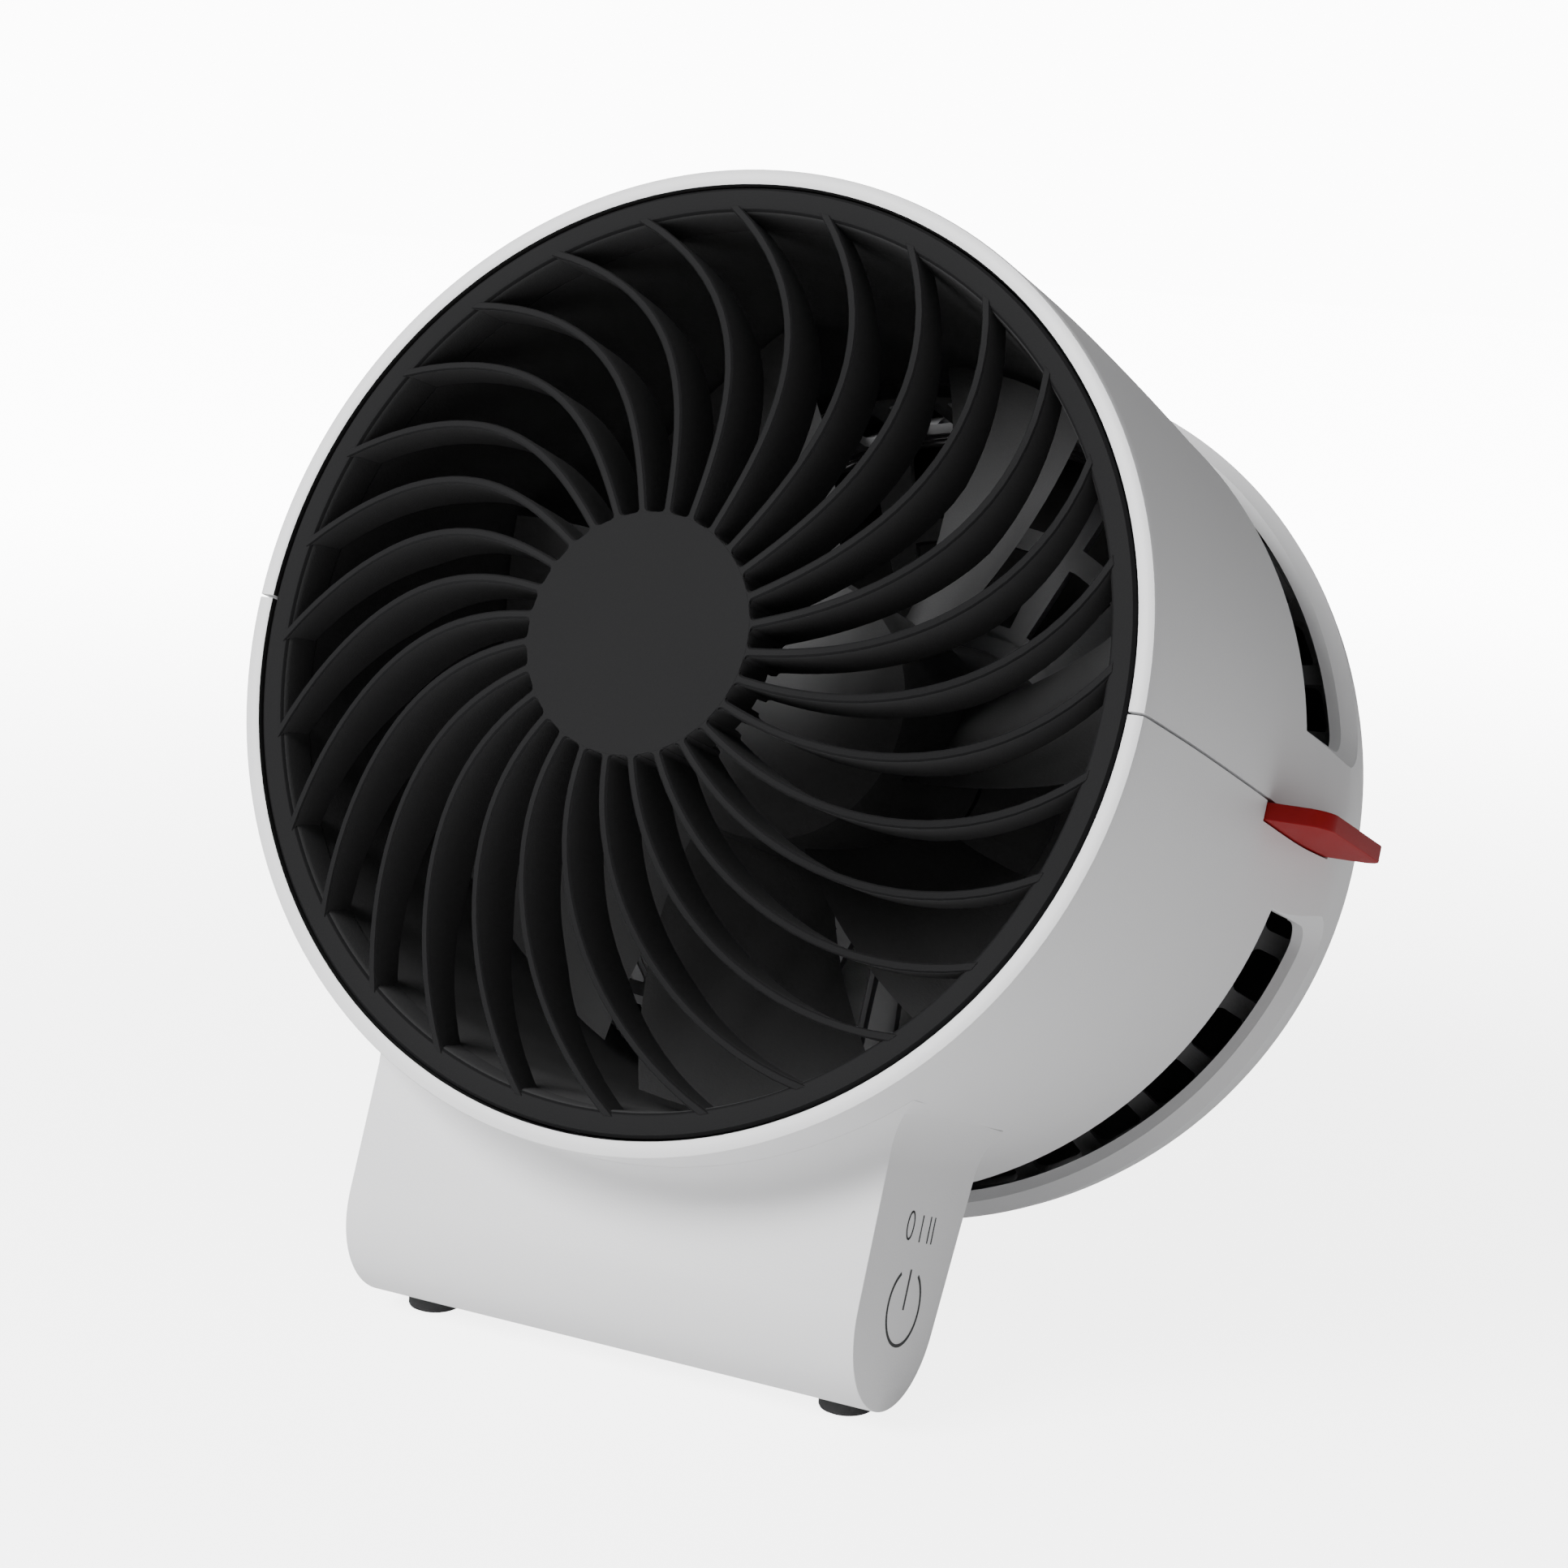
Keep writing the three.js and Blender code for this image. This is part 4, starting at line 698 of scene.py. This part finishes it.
# The pull tab that frees the upper half: a flat red plastic tongue that sticks out on
# the right of the seam. Its corners are rounded and its edges soft.
red_plastic = moulded("red plastic", (0.30, 0.008, 0.010), 0.5, 0.06, 3000.0, 0.04,
                      Specular_IOR_Level=0.15)
TAB_TOP, TAB_THICK = -0.5, 3
TAB_TIP, TAB_SIDE, TAB_HEEL = 91.3, 77.6, 71.3
TAB_FRONT, TAB_REAR, HEEL_FRONT = -66, -101.4, -89.6
TAB_CORNER, TAB_EDGE = 4.2, 0.65
tab = bmesh.new()
tab_outline = [(TAB_SIDE, TAB_FRONT), (TAB_TIP, TAB_FRONT), (TAB_TIP, TAB_REAR), (TAB_HEEL, TAB_REAR),
               (TAB_HEEL, HEEL_FRONT), (TAB_SIDE, HEEL_FRONT)]
tab.faces.new([tab.verts.new((x, TAB_TOP - TAB_THICK, z)) for x, z in tab_outline])
corners = [v for v in tab.verts if v.co.x > TAB_TIP - 0.3]
bmesh.ops.bevel(tab, geom=corners, offset=TAB_CORNER, segments=9, profile=0.5, affect="VERTICES",
                material=-1)
grown = bmesh.ops.extrude_face_region(tab, geom=list(tab.faces))
top = [v for v in grown["geom"] if isinstance(v, bmesh.types.BMVert)]
bmesh.ops.translate(tab, vec=(0, TAB_THICK, 0), verts=top)
bmesh.ops.recalc_face_normals(tab, faces=tab.faces)
TAB_WINDOW = ((72.5, -6, -95.6), (77.2, 2, -90.8))
tab = boolean(tab, block(*TAB_WINDOW))
soften(tab, TAB_EDGE, 50, 4)
SPRING_PLATE = ((TAB_HEEL, -14.2, TAB_REAR), (72.7, -1, -95.8))
tab = boolean(tab, block(*SPRING_PLATE, 0.2), "UNION")
piece("red_pull_tab", tab, "release_tab", red_plastic, ["release_tab"])


# The front grille, one black moulding: a ring inside the white rim, a flat round cap
# in the middle, and curved ribs that sweep from the cap to the ring along a soft bell.
black_plastic = moulded("black grille plastic", (0.013, 0.013, 0.0135), 0.6, 0.1, 2400.0, 0.08,
                        Specular_IOR_Level=0.05)
# Painted light: the ribs' flanks and the ring's inner wall are painted a little lighter grey, standing
# in for light that reaches them.
paint_light_and_shade_on_marks(black_plastic, (0.05, 0.05, 0.051))
RIB_COUNT = 28
CAP_R, CAP_Z = 19.6, 12
RING_OUT, RING_IN = 77.7, 73.7
RING_FACE, RING_DEPTH = -0.4, 7.2
RIB_TURN, RIB_SWEEP = -2, 32
RIB_DEPTH, RIB_HALF, RIB_EDGE = 12, 0.72, 0.32
ROOT_ROUND = 0.75


def repeat(bm, count):
    """Copies a mesh round the fan's axis."""
    bmesh.ops.spin(bm, geom=bm.verts[:] + bm.edges[:] + bm.faces[:], axis=(0, 0, 1),
                   angle=2 * math.pi * (count - 1) / count, steps=count - 1, use_duplicate=True)


def grille_front(r):
    """Height of the ribs' front at a radius."""
    share = min(max((r - CAP_R) / (RIM_R - CAP_R), 0), 1)
    return RING_FACE + (CAP_Z - RING_FACE) * 0.5 * (1 + math.cos(math.pi * share))


def rib_angle(r):
    """How far a rib has turned at a radius."""
    share = (r - CAP_R) / (RING_IN - CAP_R)
    return math.radians(RIB_TURN + RIB_SWEEP * (0.48 * share + 0.52 * share * share))


def rib_section(r):
    """One cross-section of a rib, square to the radius."""
    turn = rib_angle(r)
    slope = math.atan(r * (rib_angle(r + 0.5) - rib_angle(r - 0.5)))
    share = (r - CAP_R) / (RING_IN - CAP_R)
    to_round = min(max(ROOT_ROUND - (r - CAP_R), 0), ROOT_ROUND)
    half = RIB_HALF - 0.05 * share + ROOT_ROUND - math.sqrt(ROOT_ROUND ** 2 - to_round ** 2)
    half = half / math.cos(slope)
    front = grille_front(r) - 0.03
    tail = max(front - RIB_DEPTH, RING_FACE - RING_DEPTH + 0.2)
    across = [(-half * 0.8, tail), (half * 0.8, tail), (half, front - RIB_EDGE),
              (half - RIB_EDGE, front), (RIB_EDGE - half, front), (-half, front - RIB_EDGE)]
    out = Vector((math.cos(turn), math.sin(turn), 0))
    side = Vector((-math.sin(turn), math.cos(turn), 0))
    return [out * r + side * offset + Vector((0, 0, z)) for offset, z in across]


stations = [CAP_R - 1] + [CAP_R + ROOT_ROUND * (1 - math.cos(math.radians(90 * step / 6)))
                          for step in range(7)]
stations += [CAP_R + 1.2 + (RING_IN - CAP_R - 0.4) * step / 20 for step in range(21)]
grille = sweep([rib_section(r) for r in stations])
repeat(grille, RIB_COUNT)
ring_rear = RING_FACE - RING_DEPTH
add_part(grille, lathe([(73.4, ring_rear), (RING_OUT, ring_rear), (RING_OUT, RING_FACE - 0.5),
                        (RING_OUT - 0.5, RING_FACE), (RING_IN + 1.0, RING_FACE),
                        (RING_IN + 0.4, RING_FACE - 0.15), (RING_IN, RING_FACE - 0.6),
                        (RING_IN - 0.3, RING_FACE - 1.6), (72.9, ring_rear)]))
cap_line = [(0, CAP_Z), (CAP_R - 0.1, CAP_Z), (CAP_R, CAP_Z - 0.1), (CAP_R, 3), (CAP_R - 2, 3),
            (CAP_R - 2, CAP_Z - 2), (0, CAP_Z - 2)]
add_part(grille, lathe(cap_line, 96))
grille.normal_update()
# Steep faces are marked to take the painted light.
FLANK_STEEP = 0.3
painted_light_flanks = grille.faces.layers.float.new("inside")
for face in grille.faces:
    face[painted_light_flanks] = float(abs(face.normal.z) < FLANK_STEEP)
piece("grille_ribs_and_ring", grille, "base", black_plastic, ["front_grille"])


# The air duct round the impeller, a smooth black tube with a flared mouth and a
# flange at each end.
dark_plastic = moulded("black inner plastic", (0.06, 0.06, 0.061), 0.6, 0.1, 1800.0, 0.08,
                       Specular_IOR_Level=0.2)
duct = lathe([(73, -8), (72.2, -14), (71.4, -28), (71.2, -38), (71.2, -84.4), (76.8, -84.4),
              (76.8, -82), (73.2, -82), (73.2, -38), (74.6, -12.4), (74.6, -10.4), (77.5, -10.4),
              (77.5, -8)])
piece("air_duct_tube", duct, "base", dark_plastic, ["air_duct"])


# The intake basket behind the duct, a cage of dark grey plastic that keeps fingers off the blades; its
# grey is partly its own and partly painted light, lifted above the duct's so that it shows in the
# shade behind the slots. Its wall and its rear plate are pierced with rows of round-cornered windows.
# Painted light: the basket's dark plastic is painted a lighter grey than the duct's.
lightened_basket_plastic = moulded("basket plastic with painted light", (0.14, 0.14, 0.143), 0.6, 0.1, 1800.0, 0.08,
                           Specular_IOR_Level=0.3)
BASKET_R, BASKET_WALL = 70.5, 2
BASKET_FRONT, BASKET_REAR = -84.7, -111
WINDOWS, PLATE_WINDOWS = 36, 18
WINDOW_SHARE = 0.33
BORE_R, HUB_DISC_R, PLATE_SEAM, PLATE_OUT = 12, 31, 67.8, 69.4
FLANGE_IN, FLANGE_OUT, FLANGE_THICK = 68.4, 76.8, 2.4


def window_panel(width, height, hole, corner, thick):
    """A flat panel with one round-cornered window; hole is (half width, low, high)."""
    bm = bmesh.new()
    half = width / 2
    face = bm.faces.new([bm.verts.new(p) for p in ((-half, 0, 0), (half, 0, 0), (half, height, 0),
                                                   (-half, height, 0))])
    bmesh.ops.inset_individual(bm, faces=[face], thickness=1.0)
    inner = sorted(face.verts, key=lambda v: (v.co.y, v.co.x))
    for vert, x, y in zip(inner, (-hole[0], hole[0], -hole[0], hole[0]),
                          (hole[1], hole[1], hole[2], hole[2])):
        vert.co = (x, y, 0)
    bmesh.ops.bevel(bm, geom=inner, offset=corner, segments=4, profile=0.5, affect="VERTICES",
                    material=-1)
    middle = min(bm.faces, key=lambda f: (f.calc_center_median() - Vector(
        (0, (hole[1] + hole[2]) / 2, 0))).length)
    bmesh.ops.delete(bm, geom=[middle], context="FACES_ONLY")
    bmesh.ops.recalc_face_normals(bm, faces=bm.faces)
    grown = bmesh.ops.extrude_face_region(bm, geom=list(bm.faces))
    moved = [v for v in grown["geom"] if isinstance(v, bmesh.types.BMVert)]
    bmesh.ops.translate(bm, vec=(0, 0, thick), verts=moved)
    bmesh.ops.recalc_face_normals(bm, faces=bm.faces)
    return bm


pitch = 2 * math.pi / WINDOWS
wall_height = BASKET_FRONT - BASKET_REAR - 2
panel = window_panel(2 * (BASKET_R - BASKET_WALL / 2) * math.tan(pitch / 2), wall_height,
                     (WINDOW_SHARE * pitch * (BASKET_R - BASKET_WALL), 1.6, wall_height - 4), 1.6,
                     BASKET_WALL)
panel.transform(Matrix(((0, 0, 1, BASKET_R - BASKET_WALL), (1, 0, 0, 0),
                        (0, 1, 0, BASKET_REAR + 2), (0, 0, 0, 1))))
repeat(panel, WINDOWS)
basket = panel
share = WINDOW_SHARE * 2 * math.pi / PLATE_WINDOWS
for near, far in ((HUB_DISC_R - 0.5, 50), (49.9, PLATE_OUT)):
    middle_r = (near + far) / 2
    plate = window_panel(2, far - near, (0.5, 2.2, far - near - 2.2), 0.18, BASKET_WALL)
    for vert in plate.verts:
        r = near + vert.co.y
        turn = vert.co.x * (share / 0.5 if abs(vert.co.x) < 0.9 else math.pi / PLATE_WINDOWS)
        vert.co = (r * math.cos(turn), r * math.sin(turn), BASKET_REAR + vert.co.z)
    repeat(plate, PLATE_WINDOWS)
    add_part(basket, plate)
plate_front = BASKET_REAR + BASKET_WALL
add_part(basket, lathe([(BORE_R, BASKET_REAR), (HUB_DISC_R, BASKET_REAR), (HUB_DISC_R, plate_front),
                        (BORE_R, plate_front)], 72))
add_part(basket, lathe([(PLATE_SEAM, BASKET_REAR), (BASKET_R - 1.5, BASKET_REAR),
                        (BASKET_R, BASKET_REAR + 1.5), (BASKET_R, BASKET_REAR + 2.6),
                        (PLATE_SEAM, BASKET_REAR + 2.6)], 72))
# Behind the plate the cage widens into a short skirt, pierced like its wall.
SKIRT_START, SKIRT_END = Vector((69.9, -110.2)), Vector((76.2, -119.0))
SKIRT_WALL = 1.6
slope = (SKIRT_END - SKIRT_START).normalized()
inward = Vector((slope.y, -slope.x))
skirt_length = (SKIRT_END - SKIRT_START).length
middle_r = (SKIRT_START.x + SKIRT_END.x) / 2
SKIRT_SHARE, SKIRT_BAR, SKIRT_CORNER = 0.35, 1.2, 1.8
hole = (SKIRT_SHARE * pitch * middle_r, SKIRT_BAR, skirt_length - SKIRT_BAR)
skirt = window_panel(pitch * middle_r, skirt_length, hole, SKIRT_CORNER, SKIRT_WALL)
for vert in skirt.verts:
    turn = vert.co.x / middle_r
    r, z = SKIRT_START + slope * vert.co.y + inward * vert.co.z
    vert.co = (r * math.cos(turn), r * math.sin(turn), z)
bmesh.ops.recalc_face_normals(skirt, faces=skirt.faces)
repeat(skirt, WINDOWS)
add_part(basket, skirt)
flange_rear = BASKET_FRONT - FLANGE_THICK
add_part(basket, lathe([(FLANGE_IN, BASKET_FRONT), (FLANGE_OUT, BASKET_FRONT),
                        (FLANGE_OUT, flange_rear), (FLANGE_IN, flange_rear)], 144))
bmesh.ops.recalc_face_normals(basket, faces=basket.faces)
piece("intake_basket_cage", basket, "base", lightened_basket_plastic,
      ["basket_ring", "intake_basket", "basket_plate"])


# The impeller, one black moulding: a domed hub pressed over the motor, with seven
# broad twisted blades.
HUB_R, HUB_FRONT, HUB_REAR = 24, -38, -77
BLADES = 7
BLADE_TIP = 69.8


def blade_section(share):
    """One cross-section of a blade, at a share of the way from hub to tip."""
    root = HUB_R - 0.8
    r = root + (BLADE_TIP - root) * share
    blade_pitch = math.radians(50 - 22 * share)
    chord = 27 + 19 * share
    lean = math.radians(18) * share
    points = []
    for t, side in ([(-0.5 + step / 10, 1) for step in range(11)]
                    + [(0.5 - step / 10, -1) for step in range(1, 10)]):
        camber = 0.07 * chord * (1 - 4 * t * t)
        along = t * chord
        across = camber + side * 0.9 * math.sqrt(max(1 - 4 * t * t, 0)) ** 0.7
        arc = (along * math.cos(blade_pitch) - across * math.sin(blade_pitch)) / r + lean
        z = (HUB_FRONT + HUB_REAR) / 2 - along * math.sin(blade_pitch) - across * math.cos(blade_pitch)
        points.append((r * math.cos(arc), r * math.sin(arc), z))
    return points


impeller = sweep([blade_section(step / 14) for step in range(15)])
repeat(impeller, BLADES)
hub_in = HUB_R - 1.2
add_part(impeller, lathe([(2.3, -42), (2.3, -45.7), (7, -45.7), (7, -41), (hub_in, -42),
                          (hub_in, HUB_REAR), (HUB_R, HUB_REAR), (HUB_R, -43), (23.2, -41),
                          (20.8, -39.5), (17, -38.7), (11, -38.1), (0, -38), (0, -41.1),
                          (2.3, -41.1)], 96))
piece("impeller_blades_and_hub", impeller, "fan_rotor", dark_plastic, ["impeller"])


# Rubber feet: soft black pads pressed into the underside, two under the foot's round
# and one under the back.
rubber = moulded("black rubber", (0.02, 0.02, 0.021), 0.75, 0.12, 1500.0, 0.12)


for name in ("rubber_foot_left", "rubber_foot_right", "rubber_foot_rear"):
    low, high = (Vector(corner) * 1000 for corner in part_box(name))
    radius = (high.x - low.x) / 2
    height = high.z - low.z
    bm = lathe([(0, 0), (radius - 0.6, 0), (radius - 0.2, 0.2), (radius, 0.6), (radius, height),
                (0, height)], 48)
    centre = Matrix.Translation(((low.x + high.x) / 2, (low.y + high.y) / 2, low.z))
    piece(name + "_pad", bm, "base", rubber, [name],
          place=Matrix.Scale(0.001, 4) @ centre)


# The touch key's markings, printed in dark grey on the right side of the foot: the
# power symbol and the three settings 0, I and II.
ink = moulded("dark grey print", (0.035, 0.035, 0.037), 0.55, 0.1, 2000.0, 0.03)
PRINT = 0.06
STROKE, THIN_STROKE = 0.55, 0.36
marks = bmesh.new()


def stroke(points, width):
    """A thin raised line through points (y, z) on the foot's side."""
    for (y0, z0), (y1, z1) in zip(points, points[1:]):
        along = Vector((0, y1 - y0, z1 - z0))
        bar = bmesh.new()
        bmesh.ops.create_cube(bar, size=1)
        bmesh.ops.scale(bar, vec=(2 * PRINT, width, along.length + 0.3 * width), verts=bar.verts)
        ahead = along.normalized()
        turn = Matrix(((1, 0, 0), ahead.cross((1, 0, 0)), ahead)).transposed().to_4x4()
        centre = Vector((FOOT_HALF_WIDTH, (y0 + y1) / 2, (z0 + z1) / 2))
        bar.transform(Matrix.Translation(centre) @ turn)
        for vert in bar.verts:
            side = 1 if vert.co.x > FOOT_HALF_WIDTH else -1
            vert.co.x = FOOT_HALF_WIDTH + side * PRINT
        add_part(marks, bar)


KEY_Y, KEY_Z, KEY_R = -93.9, -34.4, 6.2
arc = [math.radians(90 + 34 + (360 - 68) * step / 48) for step in range(49)]
stroke([(KEY_Y + KEY_R * math.sin(a), KEY_Z + KEY_R * math.cos(a)) for a in arc], STROKE)
BAR_ENDS = [(-87.9, -34.55), (-94.3, -34.4)]
stroke(BAR_ENDS, STROKE)
ZERO_Y, ZERO_Z, ZERO_HIGH, ZERO_WIDE = -81.0, -30.7, 2.2, 1.25
oval = [2 * math.pi * step / 32 for step in range(33)]
stroke([(ZERO_Y + ZERO_HIGH * math.sin(a), ZERO_Z + ZERO_WIDE * math.cos(a)) for a in oval],
       THIN_STROKE)
DIGIT_TOP, DIGIT_LOW = -79.1, -83.35
for z in (-35.2, -38.4, -40.1):
    stroke([(DIGIT_TOP, z), (DIGIT_LOW, z)], THIN_STROKE)
piece("touch_key_marks", marks, "base", ink, crease=20)


# What stays hidden in the head: the motor with its coils, magnet and boards, the
# screws that hold it, the lead and the inlet. They keep their own solids and get
# their finishes here.
magnet = moulded("ferrite magnet", (0.05, 0.05, 0.055), 0.6, 0.2, 900.0, 0.2)
board_green = moulded("circuit board", (0.02, 0.12, 0.06), 0.35, 0.15, 700.0, 0.05)
cable = moulded("cable sheath", (0.025, 0.025, 0.028), 0.5, 0.1, 1200.0, 0.05)
FINISHES = {
    steel: ["motor_shaft", "rotor_can", "front_bearing", "rear_bearing", "shaft_clip", "hinge_pin",
            "tab_spring", "power_socket", "motor_screw_1", "motor_screw_2", "motor_screw_3",
            "duct_screw_1", "duct_screw_2", "duct_screw_3", "duct_screw_4"],
    iron: ["stator_core"],
    copper: ["touch_sensor"] + [f"stator_coil_{number}" for number in range(1, 7)],
    magnet: ["ring_magnet"],
    board_green: ["motor_board", "control_board"],
    cable: ["motor_lead"],
    dark_plastic: ["motor_mount"],
}
for material, names in FINISHES.items():
    for name in names:
        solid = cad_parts[name]
        solid.data.materials.clear()
        solid.data.materials.append(material)
